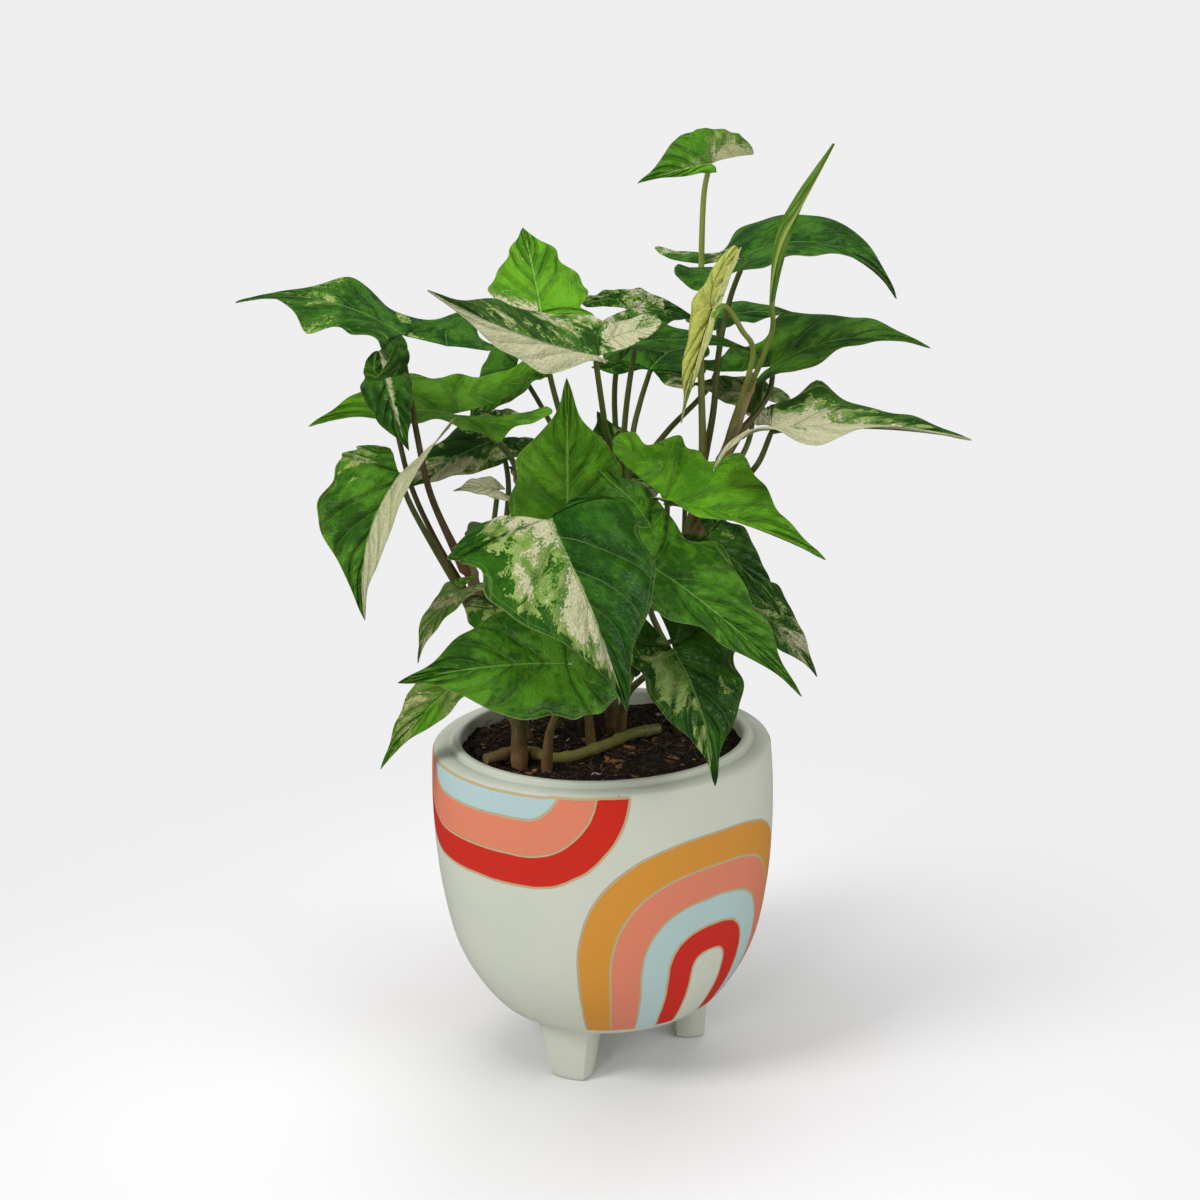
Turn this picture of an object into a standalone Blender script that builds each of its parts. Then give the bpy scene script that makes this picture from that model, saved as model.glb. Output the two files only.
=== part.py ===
"""Arrowhead plant with variegated leaves, growing in a ceramic pot on three feet.

Metres, +Z up. The origin is on the surface the pot stands on, under the middle of the pot.
The front of the plant faces -Y.
"""

from dataclasses import dataclass
from math import cos, pi, sin

import bpy
import numpy as np
from mathutils import Matrix, Vector

# Pot
POT_HEIGHT = 0.148
POT_RADIUS = 0.0755
LIP_RADIUS = 0.0660
MOUTH_RADIUS = 0.0620
LIP_STEP = 0.0034
BASE_RADIUS = 0.0425
BASE_HEIGHT = 0.0227
FLOOR_HEIGHT = 0.0320
WALL = 0.0065
POT_OUTSIDE = (  # radius and height up the bowl's outside, from above its base to below its lip
    (0.0529, 0.0300),
    (0.0630, 0.0450),
    (0.0690, 0.0600),
    (0.0729, 0.0800),
    (0.0749, 0.1000),
    (POT_RADIUS, 0.1200),
    (0.0751, 0.1350),
    (0.0743, POT_HEIGHT - LIP_STEP),
)
POT_INSIDE = (  # the same down its inside, from below the mouth to above the floor
    (0.0630, 0.1380),
    (POT_RADIUS - WALL, 0.1200),
    (0.0749 - WALL, 0.1000),
    (0.0729 - WALL, 0.0800),
    (0.0690 - WALL, 0.0620),
    (0.0630 - WALL, 0.0490),
    (0.0529 - WALL, 0.0375),
)
EDGE = 0.0010  # how far the edges of the lip and the base are broken
DRAIN_RADIUS = 0.0060
POT_SIDES = 48
FOOT_COUNT = 3
FOOT_RING = 0.0370
FOOT_FIRST = pi * 4 / 180
FOOT_TOP = (0.0150, 0.0100)
FOOT_BOTTOM = (0.0092, 0.0072)
FOOT_LEVELS = (  # height, size, and how far it has widened from its bottom to its top
    (0.0000, 0.92, 0.00),
    (0.0015, 1.00, 0.00),
    (0.0160, 1.00, 0.45),
    (FLOOR_HEIGHT - 0.0025, 1.00, 1.00),
)
FOOT_CORNERS = 16
FOOT_ROUNDNESS = 0.7

# Soil
SOIL_TOP = 0.1405
SOIL_BUMP = 0.0012
SOIL_WAVES = (170, 150, 290, 260)  # radians a metre
SOIL_PHASES = (1.1, 0.4, 2.0)
SOIL_SMALL_WAVE = 0.6  # the second wave, against the first
SOIL_EDGE_DROP = 0.0010
SOIL_RINGS = 6
SOIL_SIDES = 24
CLEARANCE = 0.0003

# Stems and leaves
BLADE_THICKNESS = 0.0008
STEM_SIDES = 8
STEM_STEPS = 4  # between two points of a stem
STEM_SAMPLES = 60
PETIOLE_SIDES = 5
PETIOLE_STEPS = 7
PETIOLE_TOP_RADIUS = 0.0011
PETIOLE_START = 0.0060
PETIOLE_SINK = 0.0050
PETIOLE_SAG = (0.30, 0.28)  # how straight it leaves the stem and meets the blade, in shares of its length
PETIOLE_LEAN = 0.25  # how far it leaves outwards, for one along the stem
PETIOLE_ARRIVE = (0.75, 0.35, 0.50)  # how far it meets the blade from below, from behind and from the ground
PETIOLE_KNOTS = 5
MIDRIB_STUB = ((0.12, 0.0009), (0.24, 0.0006), (0.36, 0.0003))  # share of the blade's length, and radius
STUB_SINK = 0.6  # how far the midrib hangs below the blade, in shares of its radius

SHARP_ANGLE = 0.7
NEARLY_STRAIGHT = 1e-6

# Colours
POT_COLOUR = (0.66, 0.70, 0.62)
SOIL_COLOUR = (0.030, 0.020, 0.012)
STEM_COLOUR = (0.16, 0.15, 0.06)
LEAF_ROUGHNESS = 0.45
STEM_ROUGHNESS = 0.5
POT_ROUGHNESS = 0.5
SOIL_ROUGHNESS = 0.95

# The outline of half a blade, for a leaf one unit from joint to tip and one unit from midrib to margin.
# Each station holds how far along it lies, its point on the margin, and its point on the midrib or,
# past the joint, on the inner edge of the lobe.
MARGIN = (
    (0.00, 0.00, 1.00),
    (0.08, 0.08, 0.94),
    (0.20, 0.27, 0.79),
    (0.35, 0.59, 0.56),
    (0.50, 0.87, 0.30),
    (0.62, 0.98, 0.07),
    (0.73, 1.00, -0.12),
    (0.85, 1.04, -0.32),
    (0.95, 0.90, -0.52),
    (1.00, 0.62, -0.60),
)
MIDRIB_SHARE = 0.62
INNER_EDGE = (
    (0.62, 0.00, 0.00),
    (0.73, 0.09, -0.08),
    (0.85, 0.27, -0.28),
    (0.95, 0.45, -0.49),
    (1.00, 0.62, -0.60),
)
LOBE_REACH = 0.60  # how far the lobes of this outline reach behind the joint
STATIONS = (0, 0.08, 0.20, 0.35, 0.50, 0.62, 0.74, 0.86, 0.95, 1)
STEPS_ACROSS = 2
WAVES_ALONG = 9  # radians of a wave of the margin, over the blade's length
WAVE_SHIFT = 1.9  # radians between the waves of its two sides


@dataclass
class Leaf:
    """One leaf: where its blade lies, how it bends, and where its stalk leaves the plant.

    A pair holds the left and the right side, looking at the upper side with the tip up.
    """

    name: str
    joint: tuple  # where the stalk meets the blade
    tip: tuple
    face: tuple  # the way the upper side looks
    root: tuple  # a stem and the height of its node, or where it comes up through the soil
    width: tuple = 0.40  # from midrib to margin, for a length of one from joint to tip
    lobe: tuple = 0.60  # how far the lobes reach behind the joint
    spread: tuple = 0.0  # how far the lobe tips swing outwards
    fold: tuple = 14  # degrees that each half rises from the midrib
    tip_fold: tuple = 0  # degrees more that it rises at the tip
    curl: tuple = -22  # degrees more that it has turned at the margin
    bend: float = -30  # degrees that the midrib turns from joint to tip
    droop: tuple = 25  # degrees that each lobe turns from the joint to its tip
    sway: float = 0.0  # how far the midrib curves sideways
    wave: float = 0.02
    phase: float = 0.0
    stalk: float = 0.0016  # radius at the root
    via: tuple = ()  # points that the stalk passes
    colour: tuple = (0.06, 0.19, 0.04)

    def __post_init__(self):
        for field in ("width", "lobe", "spread", "fold", "tip_fold", "curl", "droop"):
            value = getattr(self, field)
            if not isinstance(value, tuple):
                setattr(self, field, (value, value))


DARK = (0.03, 0.11, 0.03)
GREEN = (0.06, 0.20, 0.035)
MOTTLED = (0.16, 0.26, 0.10)
PALE = (0.45, 0.48, 0.25)

LEAVES = (
    # Left side
    Leaf("far_left", (-0.077, -0.016, 0.325), (-0.148, 0.006, 0.338), (0.1, -0.10, 1.0),
         ("stem_left", 0.224), width=(0.32, 0.42), lobe=(0.22, 0.55), bend=-45, droop=(60, -12),
         fold=(0, 14), wave=0.05, phase=1.2, via=((-0.0724, -0.021, 0.286), (-0.0685, -0.014, 0.258)),
         colour=DARK),
    Leaf("left_mid", (-0.061, 0.014, 0.288), (-0.119, -0.006, 0.287), (-0.1, -0.48, 0.88),
         ("stem_left", 0.206), width=0.42, lobe=(0.70, 0.80), bend=-35, droop=(-45, -60), fold=(28, 18),
         via=((-0.0451, 0.012, 0.279), (-0.0335, 0.014, 0.262), (-0.0370, 0.012, 0.236)), colour=GREEN),
    Leaf("hanging_dark", (-0.0835, -0.024, 0.3080), (-0.0750, -0.028, 0.2790), (-0.3, -0.90, 0.20),
         ("stem_left", 0.212), width=0.24, lobe=0.05, fold=30, stalk=0.0012,
         via=((-0.0810, -0.020, 0.290), (-0.0768, -0.012, 0.262), (-0.0690, -0.004, 0.238)), colour=DARK),
    Leaf("left_hang", (-0.079, -0.030, 0.270), (-0.094, -0.050, 0.214), (0.1, -1.0, 0.12),
         ("stem_left", 0.197), width=(0.42, 0.40), lobe=(0.25, 0.20), fold=(75, 6), curl=(20, -25),
         droop=(20, 30), sway=0.42, colour=GREEN),
    Leaf("left_lower", (-0.041, 0.034, 0.274), (-0.089, 0.018, 0.252), (-0.2, -0.60, 0.75),
         ("stem_left", 0.186), width=0.32, lobe=0.30, bend=-20, colour=MOTTLED),
    Leaf("notch", (-0.034, 0.066, 0.302), (-0.058, 0.060, 0.274), (-0.4, -0.75, 0.50),
         ("stem_middle", 0.215), lobe=0.30, colour=DARK),
    Leaf("grey_small", (-0.022, 0.036, 0.250), (-0.040, 0.058, 0.257), (0.2, -0.50, 0.80),
         ("stem_middle", 0.184), lobe=0.30, stalk=0.0012, colour=MOTTLED),
    Leaf("cream_small", (-0.040, -0.016, 0.2594), (-0.058, -0.028, 0.262), (0.0, -0.50, 0.85),
         ("stem_left", 0.192), lobe=0.30, stalk=0.0012, via=((-0.045, -0.014, 0.228),), colour=PALE),
    Leaf("left_arch", (-0.057, -0.024, 0.219), (-0.075, -0.038, 0.192), (-0.5, -0.30, 0.80),
         ("stem_left", 0.188), width=0.36, bend=-50, lobe=0.3, colour=MOTTLED),
    Leaf("left_curl", (-0.042, -0.034, 0.213), (-0.040, -0.048, 0.190), (0.1, -0.90, 0.30),
         ("stem_left", 0.168), lobe=0.3, width=0.45, colour=MOTTLED),
    Leaf("left_low", (-0.059, -0.012, 0.177), (-0.094, -0.032, 0.144), (-0.35, -0.60, 0.75),
         (-0.0355, -0.022), width=0.36, lobe=0.35, fold=25, stalk=0.0028,
         via=((-0.038, -0.023, 0.163),), colour=MOTTLED),
    # Middle
    Leaf("cream_fold", (0.002, -0.045, 0.317), (-0.060, -0.075, 0.346), (-0.2, -0.52, 0.88),
         ("stem_middle", 0.210), width=(0.22, 0.32), bend=20, lobe=(0.14, 0.42), droop=(0, -45),
         fold=(-4, 15), via=((0.0049, -0.020, 0.286), (0.0067, -0.008, 0.272)), colour=PALE),
    Leaf("top_centre", (-0.021, 0.020, 0.330), (-0.029, 0.060, 0.364), (0.05, -0.80, 0.60),
         ("stem_middle", 0.226), lobe=0.25, width=0.38, colour=GREEN),
    Leaf("front_upright", (-0.012, -0.012, 0.243), (-0.010, -0.036, 0.308), (0.1, -0.95, 0.25),
         ("stem_middle", 0.172), width=(0.34, 0.42), bend=-10, lobe=0.25, colour=DARK),
    Leaf("front_mottled", (-0.018, -0.073, 0.258), (0.010, -0.103, 0.190), (-0.1, -0.90, 0.45),
         (-0.0046, -0.004), width=(0.50, 0.46), lobe=(0.06, 0.24), spread=(0, 0.14),
         droop=(30, 50), fold=(25, 0), curl=(-105, -22), tip_fold=(0, 70), sway=-0.10, colour=MOTTLED),
    Leaf("middle_mottled", (0.012, 0.024, 0.256), (0.002, 0.048, 0.283), (0.1, -0.80, 0.50),
         ("stem_middle", 0.192), lobe=0.30, colour=MOTTLED),
    Leaf("middle_small", (0.040, 0.024, 0.247), (0.032, 0.050, 0.256), (0.2, -0.60, 0.75),
         ("stem_right", 0.194), lobe=0.15, stalk=0.0012, colour=MOTTLED),
    Leaf("front_low", (-0.014, -0.075, 0.201), (-0.078, -0.085, 0.198), (-0.1, -0.70, 0.70),
         (-0.0235, -0.031), width=0.40, lobe=(0.36, 0.50), spread=0.1, stalk=0.0018, colour=GREEN),
    Leaf("rim_hang", (0.0293, -0.066, 0.2029), (0.044, -0.086, 0.1525), (0.1, -0.90, 0.40),
         (0.0085, 0.010), width=0.33, lobe=0.35, stalk=0.0018, colour=MOTTLED),
    # Right side
    Leaf("right_lower", (0.023, -0.062, 0.235), (0.078, -0.085, 0.188), (0.2, -0.72, 0.70),
         ("stem_right", 0.166), width=(0.36, 0.27), lobe=(0.60, 0.12), droop=(-15, 40), fold=(10, 28),
         colour=GREEN),
    Leaf("right_upper", (0.029, -0.035, 0.257), (0.090, -0.063, 0.237), (0.1, -0.72, 0.70),
         ("stem_right", 0.184), width=(0.42, 0.36), lobe=(0.50, 0.04), droop=(-25, 40), fold=(8, 60),
         curl=(-15, -30), colour=GREEN),
    Leaf("right_behind", (0.046, -0.020, 0.238), (0.076, -0.032, 0.206), (0.3, -0.60, 0.75),
         ("stem_right", 0.206), width=0.34, lobe=0.2, colour=DARK),
    Leaf("right_low", (0.063, -0.005, 0.207), (0.094, -0.010, 0.173), (0.4, -0.50, 0.80),
         ("stem_right", 0.156), lobe=0.3, colour=MOTTLED),
    Leaf("centre_under", (0.025, 0.020, 0.304), (0.050, 0.070, 0.311), (0.0, -0.40, 0.90),
         ("stem_middle", 0.232), lobe=0.15, via=((0.0205, 0.018, 0.290), (0.0166, 0.016, 0.274)), colour=DARK),
    Leaf("centre_arch", (0.018, -0.006, 0.318), (0.072, -0.004, 0.311), (0.0, -0.22, 0.97),
         ("stem_middle", 0.222), width=0.28, lobe=0.25, colour=DARK),
    Leaf("centre_mottled", (0.017, 0.045, 0.328), (0.049, 0.060, 0.321), (0.1, -0.50, 0.80),
         ("stem_back", 0.200), lobe=0.5, colour=MOTTLED),
    Leaf("crown", (0.0511, 0.004, 0.3946), (0.0199, -0.020, 0.3821), (-0.2, -0.82, 0.55),
         ("stem_right", 0.256), width=(0.28, 0.24), lobe=(0.28, 0.58), droop=(-10, -10),
         via=((0.0472, 0.008, 0.378), (0.0467, 0.008, 0.340), (0.0463, 0.008, 0.304)), colour=MOTTLED),
    Leaf("right_high", (0.065, 0.012, 0.351), (0.129, 0.010, 0.332), (0.1, -0.05, 1.0),
         ("stem_right", 0.252), width=0.44, bend=-88, droop=(-35, 60), lobe=(0.60, 0.45), fold=(30, 5),
         via=((0.0592, 0.012, 0.334), (0.0545, 0.014, 0.312), (0.0515, 0.014, 0.284)), colour=DARK),
    Leaf("right_mid", (0.078, 0.022, 0.304), (0.146, 0.020, 0.310), (0.0, -0.25, 1.0),
         ("stem_right", 0.270), bend=-55, lobe=(0.45, 0.30), droop=(-30, 40), fold=(20, 14), colour=DARK),
    Leaf("right_cream", (0.072, -0.029, 0.284), (0.150, -0.045, 0.280), (0.0, -0.14, 1.0),
         ("stem_right", 0.240), width=(0.36, 0.40), bend=-20, lobe=(0.04, 0.30), droop=(0, 60), fold=20,
         colour=PALE),
    Leaf("right_back", (0.072, 0.040, 0.288), (0.044, 0.055, 0.293), (0.1, -0.50, 0.85),
         ("stem_right", 0.228), lobe=0.5, colour=MOTTLED),
    Leaf("right_tip", (0.058, 0.062, 0.322), (0.100, 0.072, 0.320), (0.0, -0.30, 0.95),
         ("stem_back", 0.228), width=0.3, lobe=0.3,
         via=((0.056, 0.066, 0.294), (0.034, 0.066, 0.270), (0.014, 0.061, 0.246)), colour=DARK),
    Leaf("half_open", (0.0484, -0.032, 0.3326), (0.0350, -0.040, 0.289), (-0.5, -0.80, 0.20),
         ("stem_right", 0.278), width=0.17, lobe=0.62, fold=55, bend=-10, stalk=0.0012,
         via=((0.0540, -0.028, 0.3335), (0.0610, -0.022, 0.3236), (0.0662, -0.014, 0.3124)), colour=PALE),
    # Back
    Leaf("back_left", (-0.034, 0.064, 0.226), (-0.068, 0.100, 0.204), (-0.2, 0.55, 0.82),
         ("stem_back", 0.180), lobe=0.35, colour=GREEN),
    Leaf("back_right", (0.042, 0.064, 0.222), (0.074, 0.100, 0.200), (0.2, 0.60, 0.80),
         ("stem_back", 0.190), lobe=0.35, colour=MOTTLED),
    Leaf("back_middle", (0.002, 0.074, 0.196), (-0.004, 0.106, 0.146), (0.0, 0.85, 0.50),
         ("stem_back", 0.170), lobe=0.35, colour=DARK),
    Leaf("back_high", (-0.008, 0.068, 0.262), (0.012, 0.102, 0.240), (0.1, 0.60, 0.78),
         ("stem_back", 0.236), lobe=0.4, colour=GREEN),
    Leaf("back_low", (0.044, 0.060, 0.182), (0.066, 0.092, 0.146), (0.4, 0.55, 0.70),
         ("stem_back", 0.160), lobe=0.4, colour=GREEN),
)

STEMS = {
    "stem_left": (0.0034, ((-0.030, 0.010, 0.128), (-0.040, 0.006, 0.165),
                           (-0.050, 0.002, 0.200), (-0.056, 0.000, 0.230))),
    "stem_middle": (0.0032, ((0.006, 0.020, 0.128), (0.005, 0.018, 0.180), (0.007, 0.016, 0.240))),
    "stem_back": (0.0030, ((0.004, 0.040, 0.128), (0.006, 0.044, 0.180), (0.004, 0.044, 0.242))),
    "stem_right": (0.0030, ((0.034, 0.020, 0.128), (0.036, 0.010, 0.180), (0.042, 0.004, 0.242),
                            (0.055, 0.001, 0.268), (0.068, 0.000, 0.304))),
}
STEM_TAPER = 0.8
FACE_SHARE = 0.96  # how far out the faces of a stem lie, with few sides, against its radius
SPIKE_ROOT = ("stem_right", 0.296)
SPIKE = (((0.0740, -0.012, 0.3211), 0.0011), ((0.0734, -0.022, 0.3360), 0.0013),
         ((0.0770, -0.026, 0.3590), 0.0032), ((0.0836, -0.027, 0.3743), 0.0025),
         ((0.0966, -0.028, 0.3952), 0.0005))
CREEPER = ((-0.050, -0.023, 0.1440), (-0.035, -0.013, 0.1440), (-0.018, -0.024, 0.1440),
           (-0.001, -0.011, 0.1440), (0.013, 0.005, 0.1440), (0.026, 0.012, 0.1440))
CREEPER_RADIUS = 0.0024


def clear_scene():
    for obj in list(bpy.data.objects):
        bpy.data.objects.remove(obj)


def add_material(obj, colour, roughness):
    material = bpy.data.materials.new(obj.name)
    material.use_nodes = True
    shader = material.node_tree.nodes["Principled BSDF"]
    shader.inputs["Base Color"].default_value = (*colour, 1)
    shader.inputs["Roughness"].default_value = roughness
    shader.inputs["Metallic"].default_value = 0
    obj.data.materials.clear()
    obj.data.materials.append(material)


def add_mesh(name, points, faces):
    mesh = bpy.data.meshes.new(name)
    mesh.from_pydata([tuple(map(float, p)) for p in points], [], faces)
    mesh.shade_smooth()
    mesh.set_sharp_from_angle(angle=SHARP_ANGLE)
    obj = bpy.data.objects.new(name, mesh)
    bpy.context.scene.collection.objects.link(obj)
    return obj


def apply_boolean(obj, other, operation):
    """Joins the other object to this one, or cuts it from it, and removes the other."""
    modifier = obj.modifiers.new("Join", "BOOLEAN")
    modifier.operation = operation
    modifier.object = other
    for solver in ("EXACT", "MANIFOLD"):
        modifier.solver = solver
        evaluated = obj.evaluated_get(bpy.context.evaluated_depsgraph_get())
        joined = bpy.data.meshes.new_from_object(evaluated)
        if len(joined.polygons):
            break
    obj.modifiers.clear()
    obj.data = joined
    bpy.data.objects.remove(other)


def smooth_path(points, steps):
    """Points along a Catmull-Rom curve through the given ones."""
    points = np.array(points, float)
    padded = np.vstack([2 * points[0] - points[1], points, 2 * points[-1] - points[-2]])
    last = len(points) - 1
    path = []
    for place in np.linspace(0, last, steps + 1):
        i = min(int(place), last - 1)
        t = place - i
        a, b, c, d = padded[i : i + 4]
        path.append(0.5 * (2 * b + (c - a) * t + (2 * a - 5 * b + 4 * c - d) * t**2
                           + (3 * b - a - 3 * c + d) * t**3))
    return np.array(path)


def tube(path, radii, sides):
    """Points and faces of a closed tube along a path, its rings turned as little as possible."""
    path = np.array(path, float)
    along = np.gradient(path, axis=0)
    along /= np.linalg.norm(along, axis=1, keepdims=True)
    start = Vector(along[0]).orthogonal().normalized()
    points = []
    for centre, direction, radius in zip(path, along, radii):
        across = (start - start.dot(Vector(direction)) * Vector(direction)).normalized()
        other = Vector(direction).cross(across)
        start = across
        for k in range(sides):
            turn = 2 * pi * k / sides
            points.append(Vector(centre) + (cos(turn) * across + sin(turn) * other) * float(radius))
    faces = []
    for i in range(len(path) - 1):
        for k in range(sides):
            a, b = i * sides + k, i * sides + (k + 1) % sides
            faces.append((a, b, b + sides, a + sides))
    faces.append(tuple(reversed(range(sides))))
    faces.append(tuple(range((len(path) - 1) * sides, len(path) * sides)))
    return points, faces


def read_table(table, share):
    """A point of the outline at this share of the way from tip to lobe."""
    places = [row[0] for row in table]
    return np.array([np.interp(share, places, [row[k] for row in table]) for k in (1, 2)])


def half_outline(leaf, side, share):
    """The margin's and the inner edge's points at a station, with the lobe's length and spread."""
    outer = read_table(MARGIN, share)
    inner = read_table(INNER_EDGE, share)
    if share < MIDRIB_SHARE:
        inner = np.array([0.0, 1 - share / MIDRIB_SHARE])
    flat = []
    for x, y in (inner, outer):
        if y < 0:
            x -= leaf.spread[side] * y / LOBE_REACH
            y *= leaf.lobe[side] / LOBE_REACH
        flat.append((x * leaf.width[side], y))
    return np.array(flat)


def turned(angle_start, angle_more, distance, reach):
    """Across and up after a distance from the midrib, on an arc that turns by angle_more over reach."""
    bend = angle_more / reach
    if abs(bend) < NEARLY_STRAIGHT:
        return distance * cos(angle_start), distance * sin(angle_start)
    end = angle_start + bend * distance
    return (sin(end) - sin(angle_start)) / bend, (cos(angle_start) - cos(end)) / bend


def midrib(leaf, side, y):
    """The midrib's point and its slope, in the plane across the blade, at a distance along it."""
    total = np.radians(leaf.bend) if y >= 0 else -np.radians(leaf.droop[side]) / leaf.lobe[side]
    slope = total * y
    if abs(total) < NEARLY_STRAIGHT:
        return y, 0.0, 0.0
    return sin(slope) / total, (1 - cos(slope)) / total, slope


def bent_point(leaf, side, x, y):
    """Where a point of the flat outline lies once the blade is folded, curled and waved."""
    along, up, slope = midrib(leaf, side, y)
    fold = leaf.fold[side] + leaf.tip_fold[side] * max(y, 0)
    across, rise = turned(np.radians(fold), np.radians(leaf.curl[side]), x, leaf.width[side])
    ruffle = leaf.wave * (x / leaf.width[side]) ** 2
    rise += ruffle * sin(WAVES_ALONG * y + leaf.phase + side * WAVE_SHIFT)
    across = (across if side else -across) + leaf.sway * (y - y * y)
    return np.array([across, along - rise * sin(slope), up + rise * cos(slope)])


def blade_frame(leaf):
    """The matrix and scale that lay the bent blade from its joint to its tip, looking the right way."""
    joint, tip = Vector(leaf.joint), Vector(leaf.tip)
    reach = (tip - joint).length
    ahead = (tip - joint) / reach
    face = Vector(leaf.face)
    face = (face - face.dot(ahead) * ahead).normalized()
    across = ahead.cross(face)
    local_tip = bent_point(leaf, 1, 0, 1)
    level = np.arctan2(local_tip[2], local_tip[1])
    scale = reach / np.hypot(local_tip[1], local_tip[2])
    y_axis = cos(level) * ahead - sin(level) * face
    z_axis = sin(level) * ahead + cos(level) * face
    matrix = Matrix((across, y_axis, z_axis)).transposed()
    return np.array(matrix), scale


def blade_surface(leaf, stations, steps):
    """The middle surface of a blade: points, triangles, and the midrib's points from joint to tip."""
    matrix, scale = blade_frame(leaf)
    points, index = [], {}

    def point_at(side, i, k):
        share = stations[i]
        on_midrib = k == 0 and share <= MIDRIB_SHARE
        pole = i in (0, len(stations) - 1)
        key = ("mid", i) if on_midrib or i == 0 else (side, i, 0 if pole else k)
        if key not in index:
            inner, outer = half_outline(leaf, side, share)
            x, y = inner + (outer - inner) * k / steps
            if pole:
                x, y = outer
            index[key] = len(points)
            points.append(bent_point(leaf, side, x, y))
        return index[key]

    triangles = []
    for side in (0, 1):
        for i in range(len(stations) - 1):
            for k in range(steps):
                a, b = point_at(side, i, k), point_at(side, i, k + 1)
                c, d = point_at(side, i + 1, k + 1), point_at(side, i + 1, k)
                for corners in ((a, b, c), (a, c, d)):
                    if len(set(corners)) == 3:
                        triangles.append(corners if side else corners[::-1])
    world = np.array(points) * scale @ matrix.T + np.array(leaf.joint)
    return world, triangles


def point_normals(points, triangles):
    normals = np.zeros_like(points)
    for corners in triangles:
        a, b, c = points[list(corners)]
        for corner in corners:
            normals[corner] += np.cross(b - a, c - a)
    return normals / np.linalg.norm(normals, axis=1, keepdims=True)


def thicken(points, triangles, thickness):
    """A closed solid with the same triangles on both faces, and a rim between them."""
    normals = point_normals(points, triangles)
    count = len(points)
    solid = np.vstack([points + normals * thickness / 2, points - normals * thickness / 2])
    faces = [tuple(t) for t in triangles]
    faces += [tuple(corner + count for corner in reversed(t)) for t in triangles]
    edges = {(t[i], t[(i + 1) % 3]) for t in triangles for i in range(3)}
    for a, b in sorted(edges):
        if (b, a) not in edges:
            faces.append((b, a, a + count))
            faces.append((b, a + count, b + count))
    return solid, faces


def beside_stem(name, height, target, own_radius):
    """A point that touches a stem at this height, on the side of the target, and the stem's direction."""
    radius, points = STEMS[name]
    path = smooth_path(points, STEM_SAMPLES)
    i = np.abs(path[:, 2] - height).argmin()
    along = np.gradient(path, axis=0)[i]
    along /= np.linalg.norm(along)
    towards = np.array(target) - path[i]
    towards -= towards @ along * along
    towards /= np.linalg.norm(towards)
    here = radius * (1 - (1 - STEM_TAPER) * i / len(path))
    return path[i] + towards * ((here + own_radius) * FACE_SHARE + CLEARANCE), along + towards * PETIOLE_LEAN


def stalk_root(leaf):
    """Where the stalk starts, and the way it leaves: beside its stem, or straight up out of the soil."""
    if leaf.root[0] in STEMS:
        return beside_stem(*leaf.root, leaf.via[-1] if leaf.via else leaf.joint, leaf.stalk)
    return np.array((*leaf.root, SOIL_TOP + PETIOLE_START / 2)), np.array((0, 0, 1.0))


def stalk_path(leaf):
    """The stalk from its root to the joint, then on under the blade as the start of the midrib."""
    matrix, scale = blade_frame(leaf)
    root, leave = stalk_root(leaf)
    joint = np.array(leaf.joint)
    up, ahead = matrix[:, 2], matrix[:, 1]
    length = np.linalg.norm(joint - root)
    end = joint - up * PETIOLE_TOP_RADIUS
    if leaf.via:
        through = [root, root + leave * PETIOLE_START, *reversed(leaf.via), end]
    else:
        first = root + leave * length * PETIOLE_SAG[0]
        below, behind, ground = PETIOLE_ARRIVE
        arrive = up * below + ahead * behind + np.array((0, 0, ground))
        second = end - arrive * length * PETIOLE_SAG[1]
        through = [(1 - t) ** 3 * root + 3 * (1 - t) ** 2 * t * first + 3 * (1 - t) * t**2 * second
                   + t**3 * end for t in np.linspace(0, 1, PETIOLE_KNOTS)]
    path = list(smooth_path(through, PETIOLE_STEPS))
    radii = list(np.linspace(leaf.stalk, PETIOLE_TOP_RADIUS, len(path)))
    if leaf.root[0] not in STEMS:
        path.insert(0, np.array((*leaf.root, SOIL_TOP - PETIOLE_SINK)))
        radii.insert(0, leaf.stalk)
    for y, radius in MIDRIB_STUB:
        point = bent_point(leaf, 1, 0, y) * scale @ matrix.T + joint
        path.append(point - up * radius * STUB_SINK)
        radii.append(radius)
    return path, radii


def add_leaf(leaf):
    points, triangles = blade_surface(leaf, STATIONS, STEPS_ACROSS)
    blade = add_mesh("leaf_" + leaf.name, *thicken(points, triangles, BLADE_THICKNESS))
    path, radii = stalk_path(leaf)
    stalk = add_mesh("stalk", *tube(path, radii, PETIOLE_SIDES))
    apply_boolean(blade, stalk, "UNION")
    add_material(blade, leaf.colour, LEAF_ROUGHNESS)


def add_rolled_leaf():
    """A new leaf, still rolled into a spike on its own stalk."""
    first = beside_stem(*SPIKE_ROOT, SPIKE[0][0], SPIKE[0][1])[0]
    rows = [(first, SPIKE[0][1])] + [(np.array(point), r) for point, r in SPIKE]
    path = smooth_path([point for point, r in rows], 2 * len(SPIKE))
    radii = np.interp(np.linspace(0, 1, len(path)), np.linspace(0, 1, len(rows)), [r for point, r in rows])
    spike = add_mesh("leaf_rolled", *tube(path, radii, PETIOLE_SIDES + 1))
    add_material(spike, GREEN, LEAF_ROUGHNESS)


def add_stem(name, radius, points):
    steps = STEM_STEPS * (len(points) - 1)
    path = smooth_path(points, steps)
    radii = np.linspace(radius, radius * STEM_TAPER, len(path))
    stem = add_mesh(name, *tube(path, radii, STEM_SIDES))
    add_material(stem, STEM_COLOUR, STEM_ROUGHNESS)


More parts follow.
